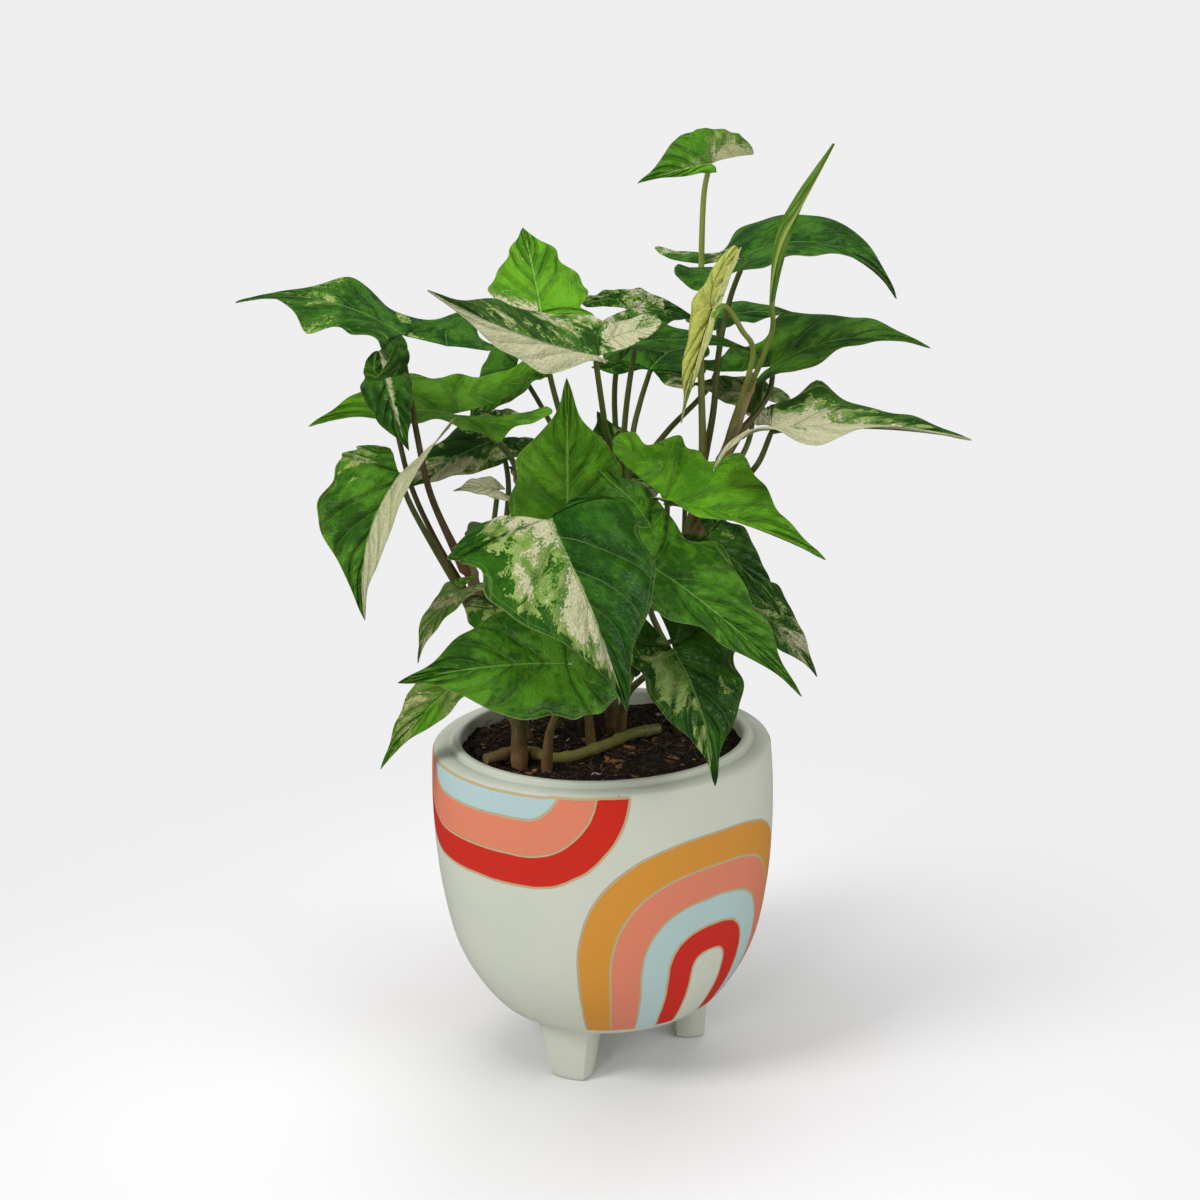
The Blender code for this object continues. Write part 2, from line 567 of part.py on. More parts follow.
def bowl_profile():
    """The wall's outline, from the drain hole under the floor, up the outside, and down the inside."""
    step = POT_HEIGHT - LIP_STEP
    return [(DRAIN_RADIUS, BASE_HEIGHT), (BASE_RADIUS - 3 * EDGE, BASE_HEIGHT),
            (BASE_RADIUS, BASE_HEIGHT + EDGE), *POT_OUTSIDE,
            (LIP_RADIUS + EDGE / 2, step + EDGE), (LIP_RADIUS, POT_HEIGHT - EDGE),
            (LIP_RADIUS - EDGE, POT_HEIGHT), (MOUTH_RADIUS + EDGE, POT_HEIGHT),
            (MOUTH_RADIUS, POT_HEIGHT - EDGE), *POT_INSIDE,
            (BASE_RADIUS - WALL, FLOOR_HEIGHT), (DRAIN_RADIUS, FLOOR_HEIGHT)]


def turn(name, profile, sides):
    """A closed body of revolution from a closed outline."""
    points, faces = [], []
    for k in range(sides):
        angle = 2 * pi * k / sides
        points += [(r * cos(angle), r * sin(angle), z) for r, z in profile]
    count = len(profile)
    for k in range(sides):
        for i in range(count):
            a, b = k * count + i, k * count + (i + 1) % count
            c, d = ((k + 1) % sides) * count + (i + 1) % count, ((k + 1) % sides) * count + i
            faces.append((a, d, c, b))
    return add_mesh(name, points, faces)


def add_foot(angle):
    """A post with rounded corners that widens upwards into the bowl."""
    points, faces = [], []
    for z, size, widened in FOOT_LEVELS:
        half_side, half_out = (np.array(FOOT_BOTTOM) * (1 - widened) + np.array(FOOT_TOP) * widened) * size
        for k in range(FOOT_CORNERS):
            corner = 2 * pi * (k + 0.5) / FOOT_CORNERS
            square = max(abs(cos(corner)), abs(sin(corner))) ** FOOT_ROUNDNESS
            out = FOOT_RING + half_out * cos(corner) / square
            side = half_side * sin(corner) / square
            points.append((out * cos(angle) - side * sin(angle), out * sin(angle) + side * cos(angle), z))
    for i in range(len(FOOT_LEVELS) - 1):
        for k in range(FOOT_CORNERS):
            a, b = i * FOOT_CORNERS + k, i * FOOT_CORNERS + (k + 1) % FOOT_CORNERS
            faces.append((a, b, b + FOOT_CORNERS, a + FOOT_CORNERS))
    faces.append(tuple(reversed(range(FOOT_CORNERS))))
    faces.append(tuple(range(len(points) - FOOT_CORNERS, len(points))))
    return add_mesh("foot", points, faces)


def add_pot():
    pot = turn("pot", bowl_profile(), POT_SIDES)
    for k in range(FOOT_COUNT):
        apply_boolean(pot, add_foot(FOOT_FIRST + 2 * pi * k / FOOT_COUNT), "UNION")
    add_material(pot, POT_COLOUR, POT_ROUGHNESS)


def soil_height(x, y):
    a, b, c, d = SOIL_WAVES
    first, second, third = SOIL_PHASES
    waves = sin(a * x + first) * cos(b * y) + SOIL_SMALL_WAVE * sin(c * y + second) * cos(d * x + third)
    return SOIL_TOP + SOIL_BUMP * waves


def add_soil(seats):
    """The soil fills the bowl, and each seat, a stem a little enlarged, is cut out of it."""
    inside = [*POT_INSIDE, (BASE_RADIUS - WALL, FLOOR_HEIGHT)]
    wall = [(r - 2 * CLEARANCE, z + CLEARANCE) for r, z in inside]
    rim = wall[0][0]
    rings = [(rim * (k + 1) / SOIL_RINGS) for k in range(SOIL_RINGS)]
    points = [(0, 0, soil_height(0, 0))]
    for r in rings[:-1]:
        for k in range(SOIL_SIDES):
            angle = 2 * pi * k / SOIL_SIDES
            x, y = r * cos(angle), r * sin(angle)
            points.append((x, y, soil_height(x, y)))
    for r, z in [(rim - CLEARANCE, SOIL_TOP - SOIL_EDGE_DROP), *wall]:
        for k in range(SOIL_SIDES):
            angle = 2 * pi * k / SOIL_SIDES
            points.append((r * cos(angle), r * sin(angle), z))
    points.append((0, 0, wall[-1][1]))
    faces = [(0, 1 + k, 1 + (k + 1) % SOIL_SIDES) for k in range(SOIL_SIDES)]
    ring_count = len(rings) + len(wall)
    for i in range(ring_count - 1):
        for k in range(SOIL_SIDES):
            a, b = 1 + i * SOIL_SIDES + k, 1 + i * SOIL_SIDES + (k + 1) % SOIL_SIDES
            faces.append((a, a + SOIL_SIDES, b + SOIL_SIDES, b))
    last = 1 + (ring_count - 1) * SOIL_SIDES
    faces += [(last + k, len(points) - 1, last + (k + 1) % SOIL_SIDES) for k in range(SOIL_SIDES)]
    soil = add_mesh("soil", points, faces)
    for seat in seats:
        apply_boolean(soil, seat, "DIFFERENCE")
    add_material(soil, SOIL_COLOUR, SOIL_ROUGHNESS)


def stalk_seat(leaf):
    """A cutter for a stalk that stands in the soil."""
    bottom = (*leaf.root, SOIL_TOP - PETIOLE_SINK - CLEARANCE)
    top = (*leaf.root, SOIL_TOP + PETIOLE_START / 2)
    return add_mesh("seat", *tube([bottom, top], [leaf.stalk + 2 * CLEARANCE] * 2, STEM_SIDES))


def stem_seat(radius, points):
    """A cutter as wide as the stem and its clearance, that ends below the stem's root."""
    root = np.array(points[0]) - np.array((0, 0, CLEARANCE))
    path = smooth_path([root, *points[1:]], STEM_STEPS * (len(points) - 1))
    return add_mesh("seat", *tube(path, [radius + 2 * CLEARANCE] * len(path), STEM_SIDES))


def main():
    clear_scene()
    add_pot()
    seats = [stem_seat(radius, points[:2]) for radius, points in STEMS.values()]
    seats.append(stem_seat(CREEPER_RADIUS, CREEPER))
    seats += [stalk_seat(leaf) for leaf in LEAVES if leaf.root[0] not in STEMS]
    add_soil(seats)
    for name, (radius, points) in STEMS.items():
        add_stem(name, radius, points)
    add_stem("stem_creeping", CREEPER_RADIUS, CREEPER)
    for leaf in LEAVES:
        add_leaf(leaf)
    add_rolled_leaf()


main()
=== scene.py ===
from dataclasses import dataclass
from math import cos, pi, radians, sin

import bpy
import numpy as np
from mathutils import Matrix, Vector, noise


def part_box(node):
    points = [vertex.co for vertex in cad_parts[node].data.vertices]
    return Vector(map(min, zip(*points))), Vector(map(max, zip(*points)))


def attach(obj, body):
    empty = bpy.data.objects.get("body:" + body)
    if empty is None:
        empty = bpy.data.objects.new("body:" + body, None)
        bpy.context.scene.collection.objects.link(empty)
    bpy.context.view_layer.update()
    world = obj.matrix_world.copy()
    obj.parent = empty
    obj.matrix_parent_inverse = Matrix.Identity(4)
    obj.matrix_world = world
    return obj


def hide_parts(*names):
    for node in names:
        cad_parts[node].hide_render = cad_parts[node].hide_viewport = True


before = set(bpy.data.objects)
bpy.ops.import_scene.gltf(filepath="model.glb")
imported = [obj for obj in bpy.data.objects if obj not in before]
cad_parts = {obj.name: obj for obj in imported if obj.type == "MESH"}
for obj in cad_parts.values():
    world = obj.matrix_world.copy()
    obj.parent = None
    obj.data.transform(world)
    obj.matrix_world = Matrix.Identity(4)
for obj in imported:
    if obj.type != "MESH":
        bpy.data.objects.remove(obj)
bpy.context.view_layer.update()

# The pot is a thrown stoneware bowl with a stepped lip, standing on three pulled feet, and dipped in a
# matte grey-green glaze. Nested arches in coloured glaze lie between thin bare lines, once hanging from
# the shoulder and once standing on the base, and the pair comes round again at the back.
pot_low, pot_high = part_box("pot")
POT_HEIGHT = pot_high.z
POT_RADIUS = (pot_high.x - pot_low.x) / 2
POT_SIDES = 160
DRAIN_RADIUS = 0.0060
BASE_RADIUS = 0.0425
BASE_HEIGHT = 0.0227
BASE_RINGS = (BASE_RADIUS * 0.6, BASE_RADIUS - 0.0030)  # on the underside, from the drainage hole outwards
FLOOR_HEIGHT = 0.0320
FLOOR_RING = BASE_RADIUS * 0.5
WALL = 0.0065
POT_OUTSIDE = (  # radius and height, from the base to the edge of the shoulder
    (BASE_RADIUS - 0.0012, BASE_HEIGHT + 0.0003), (BASE_RADIUS, BASE_HEIGHT + 0.0010),
    (0.0529, 0.0300), (0.0630, 0.0450), (0.0690, 0.0600), (0.0729, 0.0800), (0.0749, 0.1000),
    (POT_RADIUS, 0.1200), (0.0751, 0.1350), (0.0745, 0.1432),
)
POT_LIP = (  # from the shoulder over the raised lip to the mouth
    (0.0745, 0.1432), (0.0736, 0.1447), (0.0716, 0.1456), (0.0690, 0.1459), (0.0672, 0.1456),
    (0.0663, 0.1459), (0.0660, 0.1469), (0.0653, 0.1478), (0.0640, POT_HEIGHT), (0.0628, 0.1477),
    (0.0621, 0.1468), (0.0621, 0.1450), (0.0630, 0.1380),
)
POT_INSIDE = (
    (0.0630, 0.1380), (POT_RADIUS - WALL, 0.1200), (0.0749 - WALL, 0.1000), (0.0729 - WALL, 0.0800),
    (0.0690 - WALL, 0.0620), (0.0630 - WALL, 0.0490), (0.0529 - WALL, 0.0375),
    (BASE_RADIUS - WALL, FLOOR_HEIGHT),
)
POT_STEPS = (64, 60, 28)  # of the outside, the lip and the inside
SHARP_EDGE = radians(50)  # an edge that turns by more than this is drawn sharp
FOOT_COUNT = 3
FOOT_RING = 0.0370
FOOT_FIRST = radians(4)
FOOT_TOP = (0.0150, 0.0100)
FOOT_BOTTOM = (0.0092, 0.0072)
FOOT_WIDENING = ((0, 0.0015, 0.0160, 0.0295), (0, 0, 0.45, 1))  # height, and share from bottom to top
FOOT_EDGE = 0.0018
FOOT_TUCK = 0.10  # how much narrower its lower edge is
FOOT_FLARE = (0.10, 0.0180, 0.0115)  # how much wider it runs into the bowl, from what height, in what height
FOOT_CROWDING = 1.6  # its levels lie closer together towards the floor
FOOT_CORNERS = 48
FOOT_ROUNDNESS = 0.48
FOOT_LEVELS = 26

ARCH_REPEAT = pi * POT_RADIUS  # the pair of arches comes round twice
HANGING_CENTRE = -0.058  # along the wall from the front to the right
HANGING_HALF = 0.024
HANGING_HEIGHT = 0.150
HANGING_BANDS = ((0.0163, "blue"), (0.0320, "coral"), (0.0455, "red"))
STANDING_CENTRE = 0.050
STANDING_HEIGHT = 0.0594
STANDING_SQUARENESS = 2.5
STANDING_BANDS = ((0.0095, "body"), (0.0218, "red"), (0.0348, "blue"), (0.0487, "coral"), (0.0632, "ochre"))
SHOULDER_LINE = 0.1440
BASE_LINE = 0.0310
LINE_HALF_WIDTH = 0.00045
ARCH_REACH = 0.080
UNPAINTED = 1.0  # the height that the inner wall is mapped to, which no arch reaches
GLAZES = {
    "body": (0.575, 0.598, 0.494),
    "blue": (0.42, 0.57, 0.55),
    "coral": (0.70, 0.215, 0.120),
    "red": (0.58, 0.014, 0.003),
    "ochre": (0.63, 0.275, 0.030),
    "line": (0.58, 0.46, 0.26),
}
THIN_BODY = (0.545, 0.576, 0.482)  # where the body's glaze lies thinner
CLAY = (0.46, 0.42, 0.34)
GRAIN_STAIN = (0.10, 0.06, 0.04)
LINE_STAIN = (0.20, 0.12, 0.06)
PINHOLE_STAIN = (0.16, 0.12, 0.09)
STRAY = 0.0011  # how far the brush strays from a true arch
STRAY_SCALE = 90.0
GRAIN_SCALE = 900.0
CLOUD_SCALE = 28.0
CLOUD_STEP = (0.35, 0.70)  # the noise from which the glaze is thinner, and from which it is wholly so
SHEEN_SCALE = 60.0
PIT_SCALE = 500.0
PINHOLE_SCALE = 62.0
PINHOLE_RADIUS = 0.028  # for pinholes one apart
LINE_SHADOW = 1.7  # how far the stain beside a line reaches, in half widths of the line
LINE_SLOPE = 1.6  # the same for the hollow that it lies in
BARE_HEIGHT = 0.0008  # the feet are wiped clean of glaze up to here
BARE_UNEVENNESS = 0.0006
GLAZE_RELIEF = 0.00025


def smooth_path(points, steps):
    """Points along a Catmull-Rom curve through the given ones."""
    points = np.array(points, float)
    padded = np.vstack([2 * points[0] - points[1], points, 2 * points[-1] - points[-2]])
    last = len(points) - 1
    path = []
    for place in np.linspace(0, last, steps + 1):
        i = min(int(place), last - 1)
        t = place - i
        a, b, c, d = padded[i : i + 4]
        path.append(0.5 * (2 * b + (c - a) * t + (2 * a - 5 * b + 4 * c - d) * t**2
                           + (3 * b - a - 3 * c + d) * t**3))
    return np.array(path)


def add_mesh(name, points, faces):
    mesh = bpy.data.meshes.new(name)
    mesh.from_pydata([tuple(map(float, p)) for p in points], [], faces)
    mesh.shade_smooth()
    obj = bpy.data.objects.new(name, mesh)
    bpy.context.scene.collection.objects.link(obj)
    return obj


def new_finish(name):
    """A material, its node tree and its shader."""
    material = bpy.data.materials.new(name)
    material.use_nodes = True
    return material, material.node_tree, material.node_tree.nodes["Principled BSDF"]


def set_inputs(tree, node, inputs):
    """Sets each input of a node to a value, or joins it to another node's output."""
    for key, value in inputs.items():
        if isinstance(value, bpy.types.NodeSocket):
            tree.links.new(value, node.inputs[key])
        else:
            node.inputs[key].default_value = value


def add_node(tree, kind, inputs, **settings):
    """A node of this kind, with these inputs and settings."""
    node = tree.nodes.new(kind)
    for key, value in settings.items():
        setattr(node, key, value)
    set_inputs(tree, node, inputs)
    return node


def calc(tree, operation, a, b=0.0, c=0.0, clamp=False):
    """One step of arithmetic."""
    node = add_node(tree, "ShaderNodeMath", {0: a, 1: b, 2: c}, operation=operation, use_clamp=clamp)
    return node.outputs[0]


def times(tree, a, b, plus=0.0):
    """The product of two values, and a third added to it."""
    return calc(tree, "MULTIPLY_ADD", a, b, plus)


def colour_of(values):
    """The colour with its alpha."""
    return (*values, 1.0)


def mixed(tree, share, first, second, blend="MIX"):
    """One colour laid over another by a share."""
    inputs = {0: share, 6: first, 7: second}
    return add_node(tree, "ShaderNodeMix", inputs, data_type="RGBA", blend_type=blend).outputs[2]


def step_between(tree, value, low, high):
    """0 below the low value, 1 above the high one, and smooth between."""
    node = add_node(tree, "ShaderNodeMapRange", {"Value": value, "From Min": low, "From Max": high},
                    interpolation_type="SMOOTHSTEP")
    return node.outputs["Result"]


def step_down(tree, value, low, high):
    """1 below the low value, 0 above the high one, and smooth between."""
    return calc(tree, "SUBTRACT", 1.0, step_between(tree, value, low, high))


def noise_of(tree, vector, scale, detail=2.0, distortion=0.0, output="Fac"):
    inputs = {"Vector": vector, "Scale": scale, "Detail": detail, "Distortion": distortion}
    return add_node(tree, "ShaderNodeTexNoise", inputs).outputs[output]


def own_place(tree):
    """Where a point lies in its own object."""
    return add_node(tree, "ShaderNodeTexCoord", {}).outputs["Object"]


def relief_of(tree, height, strength, distance):
    """The shading direction that makes a height look raised."""
    inputs = {"Height": height, "Strength": strength, "Distance": distance}
    return add_node(tree, "ShaderNodeBump", inputs).outputs["Normal"]


def wrapped_distance(tree, place, centre):
    """How far along the wall a place is from the nearest middle of an arch."""
    offset = calc(tree, "SUBTRACT", place, centre)
    return calc(tree, "ABSOLUTE", calc(tree, "WRAP", offset, ARCH_REPEAT / 2, -ARCH_REPEAT / 2))


def band_colours(tree, radius, bands):
    """The glaze at a radius of an arch, with a line at each edge; its alpha is 0 outside the arch."""
    node = add_node(tree, "ShaderNodeValToRGB", {0: calc(tree, "DIVIDE", radius, ARCH_REACH)})
    ramp = node.color_ramp
    ramp.interpolation = "CONSTANT"
    ramp.elements[0].color = colour_of(GLAZES[bands[0][1]])
    ramp.elements[1].color = (0, 0, 0, 0)
    for i, (edge, glaze) in enumerate(bands):
        line = ramp.elements.new((edge - LINE_HALF_WIDTH) / ARCH_REACH)
        line.color = colour_of(GLAZES["line"])
        after = ramp.elements.new((edge + LINE_HALF_WIDTH) / ARCH_REACH)
        after.color = colour_of(GLAZES[bands[i + 1][1]]) if i + 1 < len(bands) else (0, 0, 0, 0)
    return node.outputs["Color"], node.outputs["Alpha"]


def line_distance(tree, radius, bands):
    """How far a point is from the nearest line of an arch."""
    nearest = None
    for edge, _ in bands:
        away = calc(tree, "ABSOLUTE", calc(tree, "SUBTRACT", radius, edge))
        nearest = away if nearest is None else calc(tree, "MINIMUM", nearest, away)
    return nearest


def glaze_finish():
    """Matte glaze, a little cloudy, with the arches brushed on it and the soles of the feet left bare."""
    material, tree, shader = new_finish("glazed_stoneware")
    wall = add_node(tree, "ShaderNodeUVMap", {}, uv_map="Wall").outputs["UV"]
    place = own_place(tree)
    stray = add_node(tree, "ShaderNodeVectorMath", {
        0: noise_of(tree, place, STRAY_SCALE, output="Color"), 1: (0.5, 0.5, 0.5)}, operation="SUBTRACT")
    moved = add_node(tree, "ShaderNodeVectorMath", {0: stray.outputs[0], 1: (STRAY,) * 3, 2: wall},
                     operation="MULTIPLY_ADD")
    along, height = add_node(tree, "ShaderNodeSeparateXYZ", {0: moved.outputs[0]}).outputs[:2]

    away = calc(tree, "SUBTRACT", wrapped_distance(tree, along, HANGING_CENTRE), HANGING_HALF)
    beside = calc(tree, "MAXIMUM", away, 0.0)
    below = calc(tree, "SUBTRACT", height, HANGING_HEIGHT)
    hanging = calc(tree, "SQRT", times(tree, beside, beside, plus=times(tree, below, below)))
    side = calc(tree, "POWER", wrapped_distance(tree, along, STANDING_CENTRE), STANDING_SQUARENESS)
    above = calc(tree, "MAXIMUM", calc(tree, "SUBTRACT", height, STANDING_HEIGHT), 0.0)
    above = calc(tree, "POWER", above, STANDING_SQUARENESS)
    standing = calc(tree, "POWER", calc(tree, "ADD", side, above), 1 / STANDING_SQUARENESS)

    on_wall = calc(tree, "LESS_THAN", height, SHOULDER_LINE)
    over_base = calc(tree, "GREATER_THAN", height, BASE_LINE)
    grain = noise_of(tree, place, GRAIN_SCALE, 3.0)
    cloud = noise_of(tree, place, CLOUD_SCALE, 3.0)
    thin = step_between(tree, cloud, *CLOUD_STEP)
    colour = mixed(tree, thin, colour_of(GLAZES["body"]), colour_of(THIN_BODY))
    to_shoulder = calc(tree, "ABSOLUTE", calc(tree, "SUBTRACT", height, SHOULDER_LINE))
    past_arch = calc(tree, "GREATER_THAN", hanging, HANGING_BANDS[-1][0])
    to_line = calc(tree, "MINIMUM", calc(tree, "ADD", to_shoulder, past_arch), 1.0)
    for radius, bands, inside in ((hanging, HANGING_BANDS, on_wall), (standing, STANDING_BANDS, over_base)):
        glaze, cover = band_colours(tree, radius, bands)
        stained = mixed(tree, 0.16, glaze, colour_of(GRAIN_STAIN))
        grainy = mixed(tree, calc(tree, "MULTIPLY_ADD", grain, 0.9, -0.22, clamp=True), glaze, stained)
        colour = mixed(tree, times(tree, cover, inside), colour, grainy)
        outside = calc(tree, "SUBTRACT", 1.0, inside)
        to_band = calc(tree, "ADD", line_distance(tree, radius, bands), outside)
        to_line = calc(tree, "MINIMUM", to_line, to_band)
    colour = mixed(tree, calc(tree, "LESS_THAN", to_line, LINE_HALF_WIDTH), colour, colour_of(GLAZES["line"]))
    clear = step_between(tree, to_line, LINE_HALF_WIDTH, LINE_HALF_WIDTH * LINE_SHADOW)
    stained = mixed(tree, 0.6, colour, colour_of(LINE_STAIN))
    colour = mixed(tree, times(tree, clear, 0.45, plus=0.55), stained, colour)
    cells = add_node(tree, "ShaderNodeTexVoronoi", {"Vector": place, "Scale": PINHOLE_SCALE})
    pinhole = calc(tree, "LESS_THAN", cells.outputs["Distance"], PINHOLE_RADIUS)
    colour = mixed(tree, times(tree, pinhole, 0.55), colour, colour_of(PINHOLE_STAIN))
    up = add_node(tree, "ShaderNodeSeparateXYZ", {0: place}).outputs[2]
    bare = calc(tree, "LESS_THAN", times(tree, cloud, BARE_UNEVENNESS, plus=up), BARE_HEIGHT)
    dull = times(tree, noise_of(tree, place, SHEEN_SCALE, 4.0), 0.22, plus=0.32)
    sunk = step_between(tree, to_line, 0.0, LINE_HALF_WIDTH * LINE_SLOPE)
    relief = times(tree, noise_of(tree, place, PIT_SCALE, 3.0), 0.25, plus=sunk)
    relief = times(tree, cloud, 1.2, plus=relief)
    set_inputs(tree, shader, {
        "Base Color": mixed(tree, bare, colour, colour_of(CLAY)), "IOR": 1.33,
        "Roughness": calc(tree, "MAXIMUM", dull, times(tree, bare, 0.85)),
        "Normal": relief_of(tree, relief, 0.5, GLAZE_RELIEF)})
    return material


def ring_faces(rings, sides, first=0, closed=False, flipped=False):
    """The faces between rings of points that follow one another; the last ring may meet the first again."""
    faces = []
    for i in range(rings if closed else rings - 1):
        here, there = first + i * sides, first + (i + 1) % rings * sides
        for k in range(sides):
            after = (k + 1) % sides
            face = (here + k, here + after, there + after, there + k)
            faces.append((face[0], *face[:0:-1]) if flipped else face)
    return faces


def turned_bowl():
    """The bowl as a closed body of revolution."""
    outline = [(r, BASE_HEIGHT) for r in (DRAIN_RADIUS, *BASE_RINGS)]
    outline += list(smooth_path(POT_OUTSIDE, POT_STEPS[0]))
    outline += list(smooth_path(POT_LIP, POT_STEPS[1]))[1:]
    outline += list(smooth_path(POT_INSIDE, POT_STEPS[2]))[1:]
    outline += [(FLOOR_RING, FLOOR_HEIGHT), (DRAIN_RADIUS, FLOOR_HEIGHT)]
    turns = [2 * pi * k / POT_SIDES for k in range(POT_SIDES)]
    points = [(r * sin(turn), -r * cos(turn), z) for turn in turns for r, z in outline]
    return add_mesh("glazed_pot", points, ring_faces(POT_SIDES, len(outline), closed=True, flipped=True))


def pulled_foot(turn):
    """A post with rounded corners, narrow at its foot and spreading into the bowl."""
    points = []
    flare, flare_from, flare_height = FOOT_FLARE
    for z in np.linspace(0, 1, FOOT_LEVELS) ** FOOT_CROWDING * FOOT_WIDENING[0][-1]:
        widened = np.interp(z, *FOOT_WIDENING)
        tucked = max(0.0, 1 - z / FOOT_EDGE)
        size = 1 - FOOT_TUCK * tucked**2 + flare * max(0.0, (z - flare_from) / flare_height) ** 2
        side_half, out_half = (np.array(FOOT_BOTTOM) * (1 - widened) + np.array(FOOT_TOP) * widened) * size
        for k in range(FOOT_CORNERS):
            corner = 2 * pi * k / FOOT_CORNERS
            square = max(abs(cos(corner)), abs(sin(corner))) ** FOOT_ROUNDNESS
            out = FOOT_RING + out_half * cos(corner) / square
            side = side_half * sin(corner) / square
            points.append((out * cos(turn) - side * sin(turn), out * sin(turn) + side * cos(turn), z))
    faces = ring_faces(FOOT_LEVELS, FOOT_CORNERS)
    faces.append(tuple(reversed(range(FOOT_CORNERS))))
    faces.append(tuple(range(len(points) - FOOT_CORNERS, len(points))))
    return add_mesh("foot", points, faces)


def joined(obj, other):
    """The two made one body by a Boolean union."""
    modifier = obj.modifiers.new("Join", "BOOLEAN")
    modifier.operation = "UNION"
    modifier.object = other
    evaluated = obj.evaluated_get(bpy.context.evaluated_depsgraph_get())
    mesh = bpy.data.meshes.new_from_object(evaluated)
    obj.modifiers.clear()
    obj.data = mesh
    bpy.data.objects.remove(other)


def map_wall(obj):
    """Writes, for each corner of each face, how far round the wall it is from the front, and its height."""
    mesh = obj.data
    points = np.empty(len(mesh.vertices) * 3)
    mesh.vertices.foreach_get("co", points)
    points = points.reshape(-1, 3)
    turn = np.arctan2(points[:, 0], -points[:, 1])
    wall = mesh.uv_layers.new(name="Wall")
    for face in mesh.polygons:
        corners = turn[list(face.vertices)]
        if corners.max() - corners.min() > pi:
            corners = np.where(corners < 0, corners + 2 * pi, corners)
        inwards = face.normal.x * face.center.x + face.normal.y * face.center.y < 0
        inside = face.center.z > BASE_LINE and inwards
        for loop, angle, vertex in zip(face.loop_indices, corners, face.vertices):
            wall.data[loop].uv = (angle * POT_RADIUS, UNPAINTED if inside else points[vertex, 2])


pot = turned_bowl()
for k in range(FOOT_COUNT):
    joined(pot, pulled_foot(FOOT_FIRST + 2 * pi * k / FOOT_COUNT))
map_wall(pot)
pot.data.shade_smooth()
pot.data.set_sharp_from_angle(angle=SHARP_EDGE)
pot.data.materials.clear()
pot.data.materials.append(glaze_finish())
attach(pot, "root")
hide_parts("pot")

# The soil is a loose peat mix, nearly black when moist, that fills the bowl to just under its lip. Crumbs,
# strips of bark, pale chips and root fibres lie scattered over it, as they are left after potting.
SOIL_TOP = 0.1405
SOIL_BUMP = 0.0012
SOIL_WAVES = (170, 150, 290, 260)
SOIL_PHASES = (1.1, 0.4, 2.0)
SOIL_SMALL_WAVE = 0.6
SOIL_ROUGH = 0.0013
SOIL_LUMPS = (260, 0.9, 2.1, 4)  # scale, roughness, step between octaves, and octaves
SOIL_RINGS = 84
SOIL_SIDES = 180
SOIL_CLEARANCE = 0.0006
PEAT = ((0.0075, 0.0055, 0.0045), (0.030, 0.019, 0.012))
PEAT_SCALE = 420.0
PEAT_STEP = (0.40, 0.68)
LITTER_SCALE = 700.0
LITTER_ROUGHNESS = 0.85
LUMP_SCALE = 1.7
LUMP_SHIFT = 900  # so that lumps of other sizes have other shapes
STRAND_STEPS = 6
STRAND_RISE = 0.6
STRAND_TAPER = 0.5


def soil_height(x, y):
    """Slow waves, with lumps a few millimetres across on top."""
    a, b, c, d = SOIL_WAVES
    first, second, third = SOIL_PHASES
    waves = sin(a * x + first) * cos(b * y) + SOIL_SMALL_WAVE * sin(c * y + second) * cos(d * x + third)
    scale, rough, octave_step, octaves = SOIL_LUMPS
    lumps = noise.fractal(Vector((x, y, 0)) * scale, rough, octave_step, octaves)
    return SOIL_TOP + SOIL_BUMP * waves + SOIL_ROUGH * lumps


def soil_finish(name, dark, light, scale, roughness=0.95):
    """A dull, uneven finish between two colours, for soil and what lies in it."""
    material, tree, shader = new_finish(name)
    place = own_place(tree)
    patches = noise_of(tree, place, scale, 5.0, 0.4)
    set_inputs(tree, shader, {
        "Base Color": mixed(tree, step_between(tree, patches, *PEAT_STEP), colour_of(dark), colour_of(light)),
        "Roughness": roughness, "Specular IOR Level": 0.25,
        "Normal": relief_of(tree, noise_of(tree, place, scale * 3, 4.0), 0.8, 0.0006)})
    return material


def soil_body():
    """The fill: an uneven top on a body that follows the inside of the bowl."""
    turns = [2 * pi * k / SOIL_SIDES for k in range(SOIL_SIDES)]
    wall = [(r - SOIL_CLEARANCE, z) for r, z in POT_INSIDE]
    points = [(0, 0, soil_height(0, 0))]
    for ring in range(1, SOIL_RINGS + 1):
        r = wall[0][0] * ring / SOIL_RINGS
        places = [(r * cos(turn), r * sin(turn)) for turn in turns]
        points += [(x, y, soil_height(x, y)) for x, y in places]
    points += [(r * cos(turn), r * sin(turn), z) for r, z in wall for turn in turns]
    points.append((0, 0, wall[-1][1]))
    rings = SOIL_RINGS + len(wall)
    last = 1 + (rings - 1) * SOIL_SIDES
    faces = [(0, 1 + k, 1 + (k + 1) % SOIL_SIDES) for k in range(SOIL_SIDES)]
    faces += ring_faces(rings, SOIL_SIDES, first=1, flipped=True)
    faces += [(last + k, len(points) - 1, last + (k + 1) % SOIL_SIDES) for k in range(SOIL_SIDES)]
    return add_mesh("potting_soil", points, faces)


def new_tree(name, sockets):
    """A Geometry Nodes tree with inputs of these kinds and one output, and what its inputs are given."""
    tree = bpy.data.node_groups.new(name, "GeometryNodeTree")
    for socket, kind in sockets.items():
        tree.interface.new_socket(socket, in_out="INPUT", socket_type="NodeSocket" + kind)
    tree.interface.new_socket("Geometry", in_out="OUTPUT", socket_type="NodeSocketGeometry")
    return tree, tree.nodes.new("NodeGroupInput").outputs


def ended(tree, geometry):
    """The tree, once it gives out this geometry."""
    tree.links.new(geometry, tree.nodes.new("NodeGroupOutput").inputs[0])
    return tree


